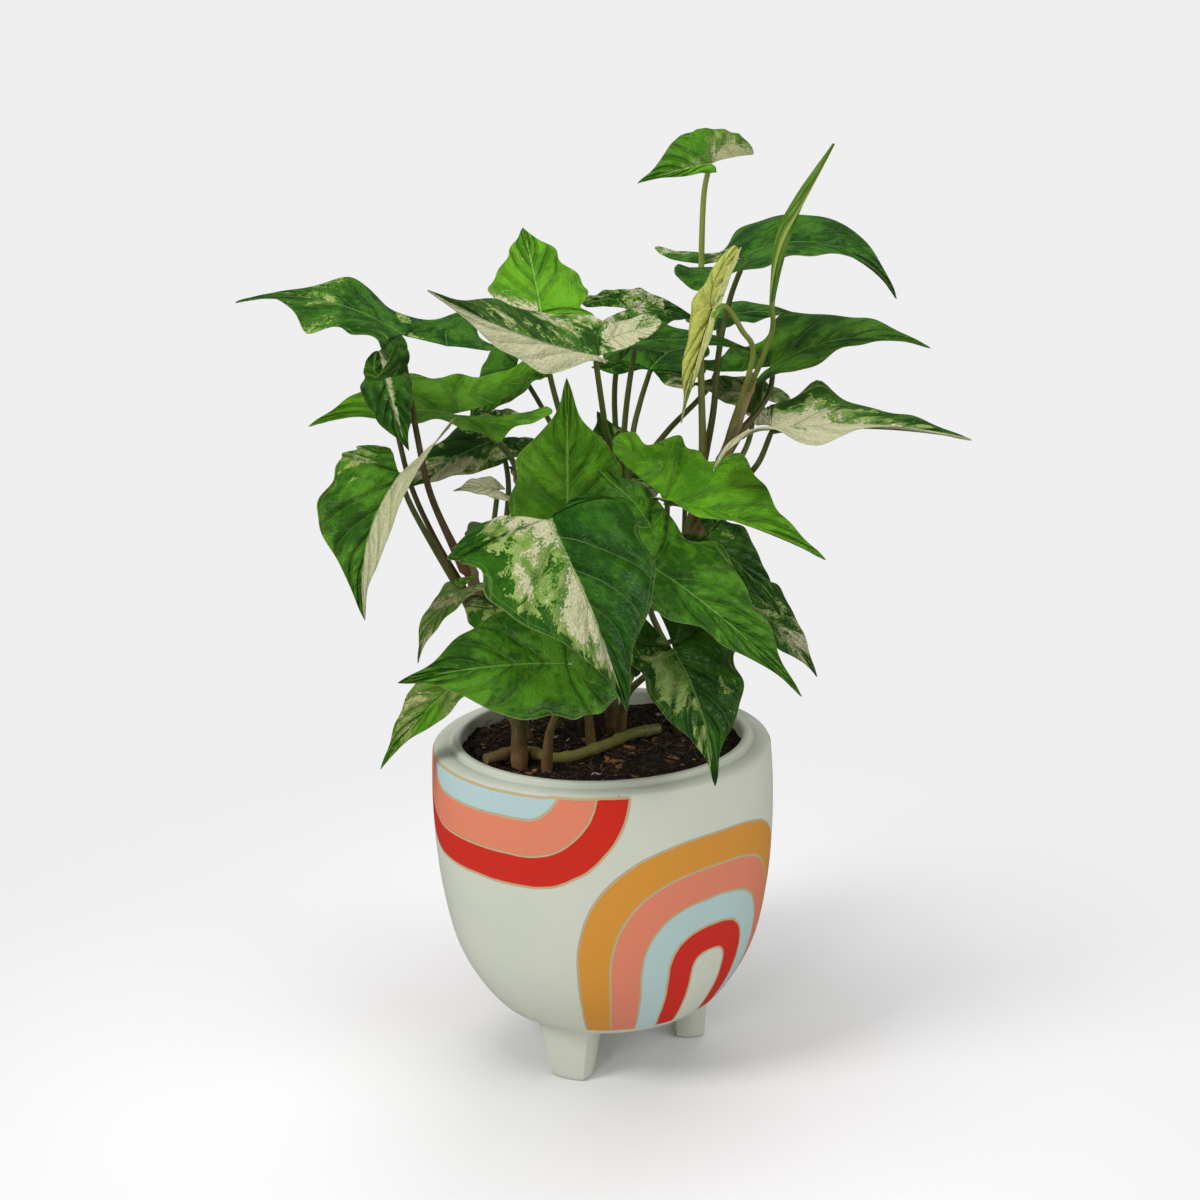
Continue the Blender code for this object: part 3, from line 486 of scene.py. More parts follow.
def painted(tree, geometry, finish):
    return add_node(tree, "GeometryNodeSetMaterial", {0: geometry, "Material": finish}).outputs[0]


def scatter_tree():
    """Copies of one small piece thrown over a surface, each turned and sized at random."""
    tree, given = new_tree("scatter_over_soil", {
        "Geometry": "Geometry", "Piece": "Object", "Per square metre": "Float", "Smallest": "Float",
        "Largest": "Float", "Tilt": "Float", "Seed": "Int", "Finish": "Material"})
    spread = add_node(tree, "GeometryNodeDistributePointsOnFaces", {
        "Mesh": given["Geometry"], "Density": given["Per square metre"], "Seed": given["Seed"]})
    back = add_node(tree, "ShaderNodeMath", {0: 0.0, 1: given["Tilt"]}, operation="SUBTRACT").outputs[0]
    low = add_node(tree, "ShaderNodeCombineXYZ", {0: back, 1: back, 2: 0.0}).outputs[0]
    high = add_node(tree, "ShaderNodeCombineXYZ", {0: given["Tilt"], 1: given["Tilt"], 2: 2 * pi}).outputs[0]
    turn = add_node(tree, "FunctionNodeRandomValue", {0: low, 1: high, "Seed": given["Seed"]},
                    data_type="FLOAT_VECTOR").outputs[0]
    size = add_node(tree, "FunctionNodeRandomValue", {2: given["Smallest"], 3: given["Largest"],
                                                      "Seed": given["Seed"]}, data_type="FLOAT").outputs[1]
    piece = add_node(tree, "GeometryNodeObjectInfo", {"Object": given["Piece"]}).outputs["Geometry"]
    placed = add_node(tree, "GeometryNodeInstanceOnPoints", {
        "Points": spread.outputs["Points"], "Instance": piece, "Rotation": turn, "Scale": size})
    real = add_node(tree, "GeometryNodeRealizeInstances", {0: placed.outputs[0]})
    return ended(tree, painted(tree, real.outputs[0], given["Finish"]))


def made_by(tree, obj, values):
    """The object's mesh as a node tree makes it, with these values for the tree's named inputs."""
    modifier = obj.modifiers.new("Nodes", "NODES")
    modifier.node_group = tree
    for item in tree.interface.items_tree:
        if item.in_out == "INPUT" and item.name in values:
            modifier[item.identifier] = values[item.name]
    evaluated = obj.evaluated_get(bpy.context.evaluated_depsgraph_get())
    mesh = bpy.data.meshes.new_from_object(evaluated)
    obj.modifiers.clear()
    obj.data = mesh


def lump(name, sizes, bumpiness, subdivisions):
    """A small uneven piece of these three sizes."""
    obj = add_mesh(name, [], [])
    tree = new_tree(name, {})[0]
    ball = add_node(tree, "GeometryNodeMeshIcoSphere", {"Radius": 1.0, "Subdivisions": subdivisions})
    made_by(ended(tree, ball.outputs["Mesh"]), obj, {})
    for vertex in obj.data.vertices:
        push = 1 + bumpiness * noise.noise(vertex.co * LUMP_SCALE + Vector(sizes) * LUMP_SHIFT)
        vertex.co = Vector([c * push * s / 2 for c, s in zip(vertex.co, sizes)])
    return obj


def strand(name, length, radius, sides, bend):
    """A short bent fibre."""
    points = []
    for t in np.arange(STRAND_STEPS + 1) / STRAND_STEPS:
        centre = Vector((
            (t - 0.5) * length, bend * length * sin(pi * t) * t, bend * length * t * t * STRAND_RISE))
        for k in range(sides):
            turn = 2 * pi * k / sides
            points.append(centre + Vector((0, cos(turn), sin(turn))) * radius * (1 - STRAND_TAPER * t))
    faces = ring_faces(STRAND_STEPS + 1, sides, flipped=True)
    faces.append(tuple(range(sides)))
    faces.append(tuple(reversed(range(STRAND_STEPS * sides, len(points)))))
    return add_mesh(name, points, faces)


soil = soil_body()
soil.data.materials.append(soil_finish("moist_peat", *PEAT, PEAT_SCALE))
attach(soil, "root")
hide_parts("soil")

SCATTER_RADIUS = 0.0585
SCATTERED = (  # name, piece, copies a square metre, smallest, largest, tilt, seed, dark and light colour
    ("peat_crumbs", lump("crumb", (0.0026, 0.0022, 0.0018), 0.7, 2), 90000, 0.35, 1.15, 3.1, 3,
     (0.008, 0.006, 0.005), (0.034, 0.021, 0.013)),
    ("bark_strips", lump("bark", (0.0100, 0.0030, 0.0012), 0.5, 2), 3300, 0.45, 1.20, 0.35, 8,
     (0.10, 0.045, 0.018), (0.34, 0.15, 0.055)),
    ("wood_chips", lump("chip", (0.0060, 0.0030, 0.0010), 0.5, 2), 1700, 0.4, 1.1, 0.45, 21,
     (0.22, 0.17, 0.11), (0.55, 0.50, 0.42)),
    ("root_fibres", strand("fibre", 0.011, 0.00022, 4, 0.35), 26000, 0.4, 1.3, 0.30, 5,
     (0.05, 0.030, 0.016), (0.24, 0.15, 0.08)),
)
scatter = scatter_tree()
scattered_rings = int(SOIL_RINGS * SCATTER_RADIUS / POT_INSIDE[0][0])
soil_points = [vertex.co.copy() for vertex in soil.data.vertices]
top_faces = [tuple(face.vertices) for face in soil.data.polygons[: SOIL_SIDES * scattered_rings]]
for name, piece, copies, smallest, largest, tilt, seed, dark, light in SCATTERED:
    litter = add_mesh(name, soil_points, top_faces)
    made_by(scatter, litter, {
        "Piece": piece, "Per square metre": float(copies), "Smallest": smallest, "Largest": largest,
        "Tilt": tilt, "Seed": seed, "Finish": soil_finish(name, dark, light, LITTER_SCALE, LITTER_ROUGHNESS)})
    litter.data.shade_smooth()
    bpy.data.objects.remove(piece)
    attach(litter, "root")

# The stems are four upright vines and one that creeps over the soil, green to brown, fleshy, and a little
# swollen at each joint where a leaf stalk clasps them. They stand in the soil and carry every leaf.
STEMS = {
    "stem_left": (0.0034, ((-0.030, 0.010, 0.128), (-0.040, 0.006, 0.165),
                           (-0.050, 0.002, 0.200), (-0.056, 0.000, 0.230))),
    "stem_middle": (0.0032, ((0.006, 0.020, 0.128), (0.005, 0.018, 0.180), (0.007, 0.016, 0.240))),
    "stem_back": (0.0030, ((0.004, 0.040, 0.128), (0.006, 0.044, 0.180), (0.004, 0.044, 0.242))),
    "stem_right": (0.0030, ((0.034, 0.020, 0.128), (0.036, 0.010, 0.180), (0.042, 0.004, 0.242),
                            (0.055, 0.001, 0.268), (0.068, 0.000, 0.304))),
}
STEM_TAPER = 0.8
CREEPER = ((-0.050, -0.023, 0.1440), (-0.035, -0.013, 0.1440), (-0.018, -0.024, 0.1440),
           (-0.001, -0.011, 0.1440), (0.013, 0.005, 0.1440), (0.026, 0.012, 0.1440))
CREEPER_RADIUS = 0.0024
STEM_SPACING = 0.016  # between the joints of a stem
STEM_SWELLING = 0.22
SWELLING_LENGTH = 0.0016
STEM_SHARE = 0.95  # its thickness, as a share of the room that the leaf stalks leave it
CREEPER_PHASE = 0.006  # how far before its start the last joint lies
BUD_LENGTH = 0.0042  # the top of each upright stem, which closes to a blunt bud
BUD_END = 0.12  # its thickness at the very top, as a share
STEM_SIDES = 20
STEM_STEPS = 110
STALK_SIDES = 12
STREAK_TONE = (0.30, 0.32, 0.10)
STREAK_STRETCH = 0.22  # how quickly streaks change upwards, for one across
STREAK_SCALE = 900.0
STREAK_STEP = (0.45, 0.75)
SPOT_TONE = (0.06, 0.035, 0.02)
SPOT_SCALE = 1500.0
SPOT_STEP = (0.62, 0.72)
STALK_TURNS = ((0.05, 0.45), (0.55, 0.95))  # where a stalk turns to its middle colour and to its top one
FLESH_DEPTH = 0.002  # how far light reaches into stalks and leaves


def stalk_tree():
    """Turns loose edges into round stalks as thick as their points say, and leaves blades as they are."""
    tree, given = new_tree("round_stalks", {
        "Geometry": "Geometry", "Sides": "Int", "Stalk finish": "Material", "Blade finish": "Material"})
    radius = add_node(tree, "GeometryNodeInputNamedAttribute", {"Name": "radius"},
                      data_type="FLOAT").outputs[0]
    round_part = add_node(tree, "ShaderNodeMath", {0: radius, 1: 0.0}, operation="GREATER_THAN").outputs[0]
    split = add_node(tree, "GeometryNodeSeparateGeometry", {0: given["Geometry"], 1: round_part},
                     domain="POINT")
    line = add_node(tree, "GeometryNodeMeshToCurve", {0: split.outputs["Selection"]})
    ring = add_node(tree, "GeometryNodeCurvePrimitiveCircle", {"Resolution": given["Sides"], "Radius": 1.0})
    tube = add_node(tree, "GeometryNodeCurveToMesh", {
        "Curve": line.outputs[0], "Profile Curve": ring.outputs["Curve"], "Scale": radius, "Fill Caps": True})
    real = add_node(tree, "GeometryNodeRealizeInstances", {0: tube.outputs[0]})
    both = tree.nodes.new("GeometryNodeJoinGeometry")
    tree.links.new(painted(tree, real.outputs[0], given["Stalk finish"]), both.inputs[0])
    tree.links.new(painted(tree, split.outputs["Inverted"], given["Blade finish"]), both.inputs[0])
    return ended(tree, both.outputs[0])


def attribute(tree, name):
    """A value that each point of the mesh carries."""
    return add_node(tree, "ShaderNodeAttribute", {}, attribute_name=name).outputs["Fac"]


def stalk_finish(name, root, middle, top):
    """Flesh that turns from one colour to the next from its root to its top, streaked and flecked."""
    material, tree, shader = new_finish(name)
    place = own_place(tree)
    stretched = add_node(tree, "ShaderNodeMapping", {"Vector": place, "Scale": (1.0, 1.0, STREAK_STRETCH)})
    streaks = noise_of(tree, stretched.outputs[0], STREAK_SCALE, 3.0)
    lowered = calc(tree, "SUBTRACT", attribute(tree, "share"), 0.25)
    share = times(tree, noise_of(tree, place, 120.0, 3.0), 0.5, plus=lowered)
    colour = mixed(tree, step_between(tree, share, *STALK_TURNS[0]), colour_of(root), colour_of(middle))
    colour = mixed(tree, step_between(tree, share, *STALK_TURNS[1]), colour, colour_of(top))
    streaked = times(tree, step_between(tree, streaks, *STREAK_STEP), 0.45)
    colour = mixed(tree, streaked, colour, mixed(tree, 0.4, colour, colour_of(STREAK_TONE)))
    spots = step_between(tree, noise_of(tree, place, SPOT_SCALE, 1.0), *SPOT_STEP)
    colour = mixed(tree, times(tree, spots, 0.35), colour, colour_of(SPOT_TONE))
    set_inputs(tree, shader, {
        "Base Color": colour, "Roughness": 0.40, "IOR": 1.35, "Subsurface Weight": 0.08,
        "Subsurface Scale": FLESH_DEPTH, "Normal": relief_of(tree, streaks, 0.35, 0.0002)})
    return material


def line_mesh(name, path, radii):
    """A chain of points joined by edges, that knows how thick it is and how far along each point lies."""
    mesh = bpy.data.meshes.new(name)
    mesh.from_pydata([tuple(map(float, p)) for p in path], [(i, i + 1) for i in range(len(path) - 1)], [])
    write_values(mesh, "radius", radii)
    write_values(mesh, "share", np.linspace(0, 1, len(path)))
    obj = bpy.data.objects.new(name, mesh)
    bpy.context.scene.collection.objects.link(obj)
    return obj


def write_values(mesh, name, values):
    """Gives each point of the mesh a value of this name."""
    layer = mesh.attributes.new(name, "FLOAT", "POINT")
    layer.data.foreach_set("value", np.asarray(values, np.float32))


def jointed_radii(path, radius, taper, phase=0.0):
    """A stem's radius along its path, with a low swelling at each joint."""
    steps = np.linalg.norm(np.diff(path, axis=0), axis=1)
    along = np.concatenate([[0], np.cumsum(steps)]) + phase
    from_joint = (along / STEM_SPACING + 0.5) % 1 - 0.5
    swelling = np.exp(-((from_joint * STEM_SPACING / SWELLING_LENGTH) ** 2))
    return radius * np.linspace(1, taper, len(path)) * (1 + STEM_SWELLING * swelling)


def closed_top(path, radii):
    """The radii of a stem whose top closes to a blunt bud."""
    open_share = np.clip(np.linalg.norm(path - path[-1], axis=1) / BUD_LENGTH, 0, 1)
    return radii * np.maximum(np.sqrt(1 - (1 - open_share) ** 2), BUD_END)


stalks = stalk_tree()
stem_bark = stalk_finish("stem_bark", (0.085, 0.050, 0.022), (0.11, 0.105, 0.028), (0.26, 0.190, 0.075))
for name, (radius, points) in STEMS.items():
    path = smooth_path(points, STEM_STEPS)
    radii = closed_top(path, jointed_radii(path, radius * STEM_SHARE, STEM_TAPER))
    stem = line_mesh(name.replace("stem", "vine"), path, radii)
    made_by(stalks, stem, {"Sides": STEM_SIDES, "Stalk finish": stem_bark})
    stem.data.shade_smooth()
    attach(stem, "root")
    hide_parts(name)

creeper_path = smooth_path(CREEPER, STEM_STEPS)
creeper_radii = jointed_radii(creeper_path, CREEPER_RADIUS, 1.0, CREEPER_PHASE)
creeper = line_mesh("vine_creeping", creeper_path, creeper_radii)
made_by(stalks, creeper, {"Sides": STEM_SIDES, "Stalk finish": stalk_finish(
    "creeping_stem_bark", (0.20, 0.13, 0.055), (0.135, 0.125, 0.028), (0.13, 0.14, 0.035))})
creeper.data.shade_smooth()
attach(creeper, "root")
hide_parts("stem_creeping")

# The leaves are arrowheads, thin and satin, each one blade on one long stalk that sheathes its stem. A blade
# folds and curls along its ribs, puckers between its side veins, and is green, marbled or cream by turns.
BLADE_THICKNESS = 0.00045
EDGE_THICKNESS = 0.40  # of that, at the margin
PETIOLE_TOP_RADIUS = 0.0011
PETIOLE_START = 0.0060
PETIOLE_FOOT = (0.45, 0.004)  # where it starts in its stem: share of the way out, and how far down
PETIOLE_SINK = 0.0050
PETIOLE_SAG = (0.30, 0.28)  # how long it keeps its first direction and its last, for a length of one
PETIOLE_LEAN = 0.25  # how far it leans outwards as it leaves its stem
PETIOLE_ARRIVE = (0.75, 0.35, 0.50)  # how far it comes from under the blade, from behind it, and from below
PETIOLE_KNOTS = 5
PETIOLE_STEPS = 34
SHEATH_LENGTH = 0.016
SHEATH_SWELLING = 0.40
FACE_SHARE = 0.96  # a stem and a stalk lie beside each other at this share of their radii
CLEARANCE = 0.0003
MIDRIB_STEPS = 16
MIDRIB_END = 0.90  # how far along the blade the midrib stands out below
MIDRIB_SINK = 0.75
MIDRIB_TAPER = 0.8
MIDRIB_SHARE_OF_STALK = 0.85
MIDRIB_TIP_RADIUS = 0.00012
NODE_PLACES = 60  # places along a stem where a leaf may leave it
MARGIN = (  # share of the way from tip to lobe, and the point of the margin there, across and along
    (0.00, 0.00, 1.00), (0.08, 0.08, 0.94), (0.20, 0.27, 0.79), (0.35, 0.59, 0.56), (0.50, 0.87, 0.30),
    (0.62, 0.98, 0.07), (0.73, 1.00, -0.12), (0.85, 1.04, -0.32), (0.95, 0.93, -0.52), (0.98, 0.80, -0.59),
    (1.00, 0.66, -0.60),
)
MIDRIB_SHARE = 0.62
INNER_EDGE = ((0.62, 0.00, 0.00), (0.73, 0.09, -0.08), (0.85, 0.25, -0.28), (0.95, 0.42, -0.49),
              (0.98, 0.51, -0.57), (1.00, 0.66, -0.60))
LOBE_REACH = 0.60
STATIONS = 74
STEPS_ACROSS = 14
WAVES_ALONG = 9
WAVE_SHIFT = 1.9  # between the two halves of a blade
PINCH_LENGTH = 0.22
MARGIN_WAVES = (12, 25)  # slow and quick unevenness along the margin
RUFFLE = 0.020
RUFFLES_ALONG = 19
RUFFLE_SHIFT = 2.3
RUFFLE_GROUPS = 7  # ruffles come and go in so many waves
SWELL = 0.011
SWELL_WAVES = (6, 8)  # across and along
MARGIN_WOBBLE = 0.070  # how far the margin strays in and out
TIP_NECK = 0.84  # how far along the blade it is most drawn in
TIP_NECK_LENGTH = 0.16
SIDE_VEINS = 9
VEIN_CURVE = 0.16  # how much nearer the tip a side vein ends than it starts
LOBE_RIB = (0.20, 0.45)  # how soon the lobe's own rib follows the midrib, and how far across it lies
VEIN_TURN = (0.50, 0.25, 1.8)  # where they start to lean back to the lobe instead, how soon, and how much
LOBE_COLOUR = (0.50, 0.20)  # where the lobe's own share of cream starts, and how soon it is reached
PUCKER = 0.00060
PUCKER_LENGTH = 0.08  # the length of blade that it holds for
PUCKER_FADE = 5  # how quickly it fades towards the rib and the margin
FLECK_LEAN = 0.35  # how far flecks follow the side veins instead of the midrib
BLADE_SHARP_EDGE = radians(62)
NEARLY_STRAIGHT = 1e-6


@dataclass
class Leaf:
    """One leaf: where its blade lies, how it bends and is coloured, and where its stalk leaves the plant.

    A pair holds the left and the right side, looking at the upper side with the tip up.
    """

    name: str
    joint: tuple  # where the stalk meets the blade
    tip: tuple
    face: tuple  # the way the upper side looks
    root: tuple  # a stem and the height of its node, or where it comes up through the soil
    slot: str = "leaf_green"
    cream: tuple = -0.30  # how much of each side is cream: none at -0.3, half at 0.5, all at 1.2
    lobe_cream: tuple = None  # the same on the lobes, where they differ
    middle: tuple = 0.0  # how much more cream there is beside the midrib, and less at the margin
    lime: float = 0.0  # how much more of it is lime
    gold: tuple = 0.0  # how yellow the cream is
    skin: str = None  # the finish, where it isn't the slot's own
    brown: float = 0.2  # how brown the stalk is, and below 0 how pale
    width: tuple = 0.40  # from midrib to margin, for a length of one from joint to tip
    full: tuple = 0.0  # how much wider it is half way to the tip
    pinch: tuple = 0.0  # how much narrower it is at the joint
    wavy: float = 1.0  # how uneven its margin is
    point: tuple = 0.30  # how much it draws in before the tip
    lobe: tuple = 0.60  # how far the lobes reach behind the joint
    spread: tuple = 0.0  # how far the lobe tips swing outwards
    fold: tuple = 14  # degrees that each half rises from the midrib
    tip_fold: tuple = 0  # degrees more that it rises at the tip
    curl: tuple = -22  # degrees more that it has turned at the margin
    bend: float = -30  # degrees that the midrib turns from joint to tip
    droop: tuple = 25  # degrees that each lobe turns from the joint to its tip
    sway: float = 0.0  # how far the midrib curves sideways
    wave: float = 0.02
    phase: float = 0.0
    stalk: float = 0.0016  # radius at the root
    via: tuple = ()  # points that the stalk passes

    def __post_init__(self):
        if self.lobe_cream is None:
            self.lobe_cream = self.cream
        self.shift = 90 * sum(self.joint)
        for name in ("cream", "lobe_cream", "gold", "middle", "width", "full", "pinch", "point", "lobe",
                     "spread", "fold", "tip_fold", "curl", "droop"):
            value = getattr(self, name)
            if not isinstance(value, tuple):
                setattr(self, name, (value, value))


LEAVES = (
    # Left side
    Leaf("far_left", (-0.077, -0.016, 0.325), (-0.148, 0.006, 0.338), (0.1, -0.10, 1.0),
         ("stem_left", 0.224), "leaf_dark", -0.10, lime=0.15, wavy=2.2, brown=0.9, width=(0.32, 0.42),
         lobe=(0.22, 0.55), bend=-45, droop=(60, -40), fold=(0, 14), wave=0.09, phase=1.2,
         via=((-0.0724, -0.021, 0.286), (-0.0685, -0.014, 0.258))),
    Leaf("left_mid", (-0.061, 0.014, 0.288), (-0.119, -0.006, 0.287), (-0.1, -0.48, 0.88),
         ("stem_left", 0.206), cream=-0.5, lime=0.2, skin="leaf_lit_green", wavy=1.5, width=0.42,
         lobe=(0.70, 0.80), bend=-35, droop=(-45, -60), fold=(28, 18),
         via=((-0.0451, 0.012, 0.279), (-0.0335, 0.014, 0.262), (-0.0370, 0.012, 0.236))),
    Leaf("hanging_dark", (-0.0835, -0.024, 0.3080), (-0.0750, -0.028, 0.2790), (-0.3, -0.90, 0.20),
         ("stem_left", 0.212), "leaf_dark", (-0.2, -0.8), middle=(1.35, 0.85), brown=0.8, width=0.34,
         full=0.15, point=0.2, lobe=0.40, spread=-0.55, droop=0, fold=14, stalk=0.0012,
         via=((-0.0810, -0.020, 0.290), (-0.0768, -0.012, 0.262), (-0.0690, -0.004, 0.238))),
    Leaf("left_hang", (-0.079, -0.030, 0.270), (-0.094, -0.050, 0.214), (0.1, -1.0, 0.12),
         ("stem_left", 0.197), "leaf_green", (1.2, -0.30), (1.2, 0.30), lime=0.12, width=(0.42, 0.40),
         full=(0.10, 0.10), lobe=(0.25, 0.20), fold=(58, 6), curl=(25, -25), droop=(20, 30), sway=0.42),
    Leaf("left_lower", (-0.041, 0.034, 0.274), (-0.089, 0.018, 0.252), (-0.2, -0.60, 0.75),
         ("stem_left", 0.186), "leaf_mottled", 0.30, width=0.32, lobe=0.30, bend=-20),
    Leaf("notch", (-0.034, 0.066, 0.302), (-0.058, 0.060, 0.274), (-0.4, -0.75, 0.50),
         ("stem_middle", 0.215), "leaf_dark", -0.1, lobe=0.30),
    Leaf("grey_small", (-0.022, 0.036, 0.250), (-0.040, 0.058, 0.257), (0.2, -0.50, 0.80),
         ("stem_middle", 0.184), "leaf_mottled", 0.40, lobe=0.30, stalk=0.0012),
    Leaf("cream_small", (-0.040, -0.016, 0.2594), (-0.058, -0.028, 0.262), (0.0, -0.50, 0.85),
         ("stem_left", 0.192), "leaf_pale", 0.9, lobe=0.30, stalk=0.0012, via=((-0.045, -0.014, 0.228),)),
    Leaf("left_arch", (-0.057, -0.024, 0.219), (-0.075, -0.038, 0.192), (-0.5, -0.30, 0.80),
         ("stem_left", 0.188), "leaf_mottled", 0.34, lime=0.12, gold=0.4, skin="leaf_lit_green", width=0.32,
         bend=-50, lobe=0.3),
    Leaf("left_curl", (-0.042, -0.034, 0.213), (-0.040, -0.048, 0.190), (0.1, -0.90, 0.30),
         ("stem_left", 0.168), "leaf_mottled", 0.46, lime=0.12, gold=0.2, lobe=0.3, width=0.45),
    Leaf("left_low", (-0.059, -0.012, 0.177), (-0.094, -0.032, 0.144), (-0.35, -0.60, 0.75),
         (-0.0355, -0.022), "leaf_mottled", 0.20, lime=0.10, gold=0.5, skin="leaf_lit_green", brown=1.0,
         width=0.29, lobe=0.35, fold=25, stalk=0.0028, via=((-0.038, -0.023, 0.163),)),
    # Middle
    Leaf("cream_fold", (0.002, -0.045, 0.317), (-0.060, -0.075, 0.346), (-0.2, -0.52, 0.88),
         ("stem_middle", 0.210), "leaf_pale", (1.3, 0.10), (1.2, 0.60), skin="leaf_cream_dark",
         width=(0.27, 0.32), full=(0.05, 0.15), pinch=(0.85, 0), bend=20, lobe=(0.06, 0.42), droop=(0, -45),
         fold=(-4, 15), via=((0.0049, -0.020, 0.286), (0.0067, -0.008, 0.272))),
    Leaf("top_centre", (-0.021, 0.020, 0.330), (-0.029, 0.060, 0.364), (0.05, -0.80, 0.60),
         ("stem_middle", 0.226), "leaf_green", (-0.1, -0.4), (1.2, -0.2), skin="leaf_lit_green", wavy=1.6,
         lobe=0.25, width=0.38),
    Leaf("front_upright", (-0.012, -0.012, 0.243), (-0.010, -0.036, 0.308), (0.1, -0.95, 0.25),
         ("stem_middle", 0.172), "leaf_dark", -0.8, skin="leaf_lit_green", wavy=1.4, point=0.34,
         width=(0.31, 0.33), full=(0.36, 0.20), bend=-10, lobe=0.25),
    Leaf("front_mottled", (-0.018, -0.073, 0.258), (0.010, -0.103, 0.190), (-0.1, -0.90, 0.45),
         (-0.0046, -0.004), "leaf_mottled", (-0.6, 0.36), (-0.5, 0.10), middle=(0, 0.50), lime=0.12,
         brown=0.6, width=(0.50, 0.46), lobe=(0.06, 0.24), spread=(0, 0.14), droop=(30, 50), fold=(25, 0),
         curl=(-105, -22), tip_fold=(0, 70), sway=-0.10),
    Leaf("middle_mottled", (0.012, 0.024, 0.256), (0.002, 0.048, 0.283), (0.1, -0.80, 0.50),
         ("stem_middle", 0.192), "leaf_mottled", 0.32, lobe=0.30),
    Leaf("middle_small", (0.040, 0.024, 0.247), (0.032, 0.050, 0.256), (0.2, -0.60, 0.75),
         ("stem_right", 0.194), "leaf_mottled", 0.55, lime=0.15, lobe=0.15, stalk=0.0012),
    Leaf("front_low", (-0.014, -0.075, 0.201), (-0.078, -0.085, 0.198), (-0.1, -0.70, 0.70),
         (-0.0235, -0.031), wavy=0.7, point=0.45, width=0.40, full=0.08, lobe=(0.44, 0.52),
         spread=(-0.58, -0.66), droop=(0, 10), stalk=0.0018, brown=0.8),
    Leaf("rim_hang", (0.0293, -0.066, 0.2029), (0.044, -0.086, 0.1525), (0.1, -0.90, 0.40), (0.0085, 0.010),
         "leaf_mottled", (-0.5, -0.02), lime=0.32, brown=0.5, point=0.5, width=(0.40, 0.33), sway=-0.20,
         lobe=(0.95, 1.00), spread=(0, -0.10), droop=5, stalk=0.0018),
    # Right side
    Leaf("right_lower", (0.023, -0.062, 0.235), (0.078, -0.085, 0.188), (0.2, -0.72, 0.70),
         ("stem_right", 0.166), cream=-0.6, wavy=1.8, point=0.45, width=(0.31, 0.26), lobe=(0.64, 0.12),
         spread=(0.45, 0), droop=(0, 40), fold=(10, 28)),
    Leaf("right_upper", (0.029, -0.035, 0.257), (0.090, -0.063, 0.237), (0.1, -0.72, 0.70),
         ("stem_right", 0.184), cream=-0.6, skin="leaf_lit_green", wavy=2.2, point=0.45, width=(0.42, 0.34),
         pinch=(0, 0.75), lobe=(0.50, 0.04), droop=(-25, 40), fold=(8, 60), curl=(-15, -30)),
    Leaf("right_behind", (0.046, -0.020, 0.238), (0.076, -0.032, 0.206), (0.3, -0.60, 0.75),
         ("stem_right", 0.206), "leaf_dark", -0.1, width=0.34, lobe=0.2),
    Leaf("right_low", (0.063, -0.005, 0.207), (0.094, -0.010, 0.173), (0.4, -0.50, 0.80),
         ("stem_right", 0.156), "leaf_mottled", 0.25, lobe=0.3),
    Leaf("centre_under", (0.025, 0.020, 0.304), (0.050, 0.070, 0.311), (0.0, -0.40, 0.90),
         ("stem_middle", 0.232), "leaf_dark", -0.05, lobe=0.15,
         via=((0.0205, 0.018, 0.290), (0.0166, 0.016, 0.274))),
    Leaf("centre_arch", (0.018, -0.006, 0.318), (0.072, -0.004, 0.311), (0.0, -0.22, 0.97),
         ("stem_middle", 0.222), "leaf_dark", -0.1, width=0.28, lobe=0.25),
    Leaf("centre_mottled", (0.017, 0.045, 0.328), (0.049, 0.060, 0.321), (0.1, -0.50, 0.80),
         ("stem_back", 0.200), "leaf_mottled", 0.40, lobe=0.5),
    Leaf("crown", (0.0511, 0.004, 0.3890), (0.0199, -0.020, 0.3821), (0.1, -0.95, 0.30),
         ("stem_right", 0.256), "leaf_mottled", (-0.3, -0.55), (-0.3, 0.30), gold=0.3, middle=(0, 0.85),
         lime=0.42, skin="leaf_lit_green", brown=-1.0, wavy=0.4, width=(0.10, 0.38), lobe=(0.02, 1.15),
         spread=(0, -0.2), droop=(0, 20),
         via=((0.0480, 0.008, 0.374), (0.0467, 0.008, 0.340), (0.0463, 0.008, 0.304))),
    Leaf("right_high", (0.065, 0.012, 0.351), (0.129, 0.010, 0.332), (0.1, -0.05, 1.0),
         ("stem_right", 0.252), "leaf_dark", -0.5, (0.40, -0.5), brown=0.3, width=0.44, bend=-88,
         droop=(-48, -55), lobe=(0.55, 0.40), fold=(20, 4), tip_fold=(30, 0),
         via=((0.0592, 0.012, 0.334), (0.0545, 0.014, 0.312), (0.0515, 0.014, 0.284))),
    Leaf("right_mid", (0.078, 0.022, 0.304), (0.146, 0.020, 0.310), (0.0, -0.25, 1.0),
         ("stem_right", 0.270), "leaf_dark", -0.35, skin="leaf_green", brown=0.4, wavy=2.0, bend=-55,
         lobe=(0.45, 0.30), droop=(-30, 40), width=(0.40, 0.30), full=(0.15, 0.05), fold=(20, 14)),
    Leaf("right_cream", (0.072, -0.029, 0.284), (0.150, -0.045, 0.280), (0.0, -0.14, 1.0),
         ("stem_right", 0.240), "leaf_pale", (0.22, 1.0), (0.50, 1.2), middle=(0.35, 0), lime=0.12,
         skin="leaf_cream_dark", wavy=2.2, wave=0.05, width=(0.36, 0.38), bend=-20, lobe=(0.04, 0.30),
         droop=(0, 60), fold=20),
    Leaf("right_back", (0.072, 0.040, 0.288), (0.044, 0.055, 0.293), (0.1, -0.50, 0.85),
         ("stem_right", 0.228), "leaf_mottled", 0.60, lime=0.15, lobe=0.5),
    Leaf("right_tip", (0.058, 0.062, 0.322), (0.100, 0.072, 0.320), (0.0, -0.30, 0.95),
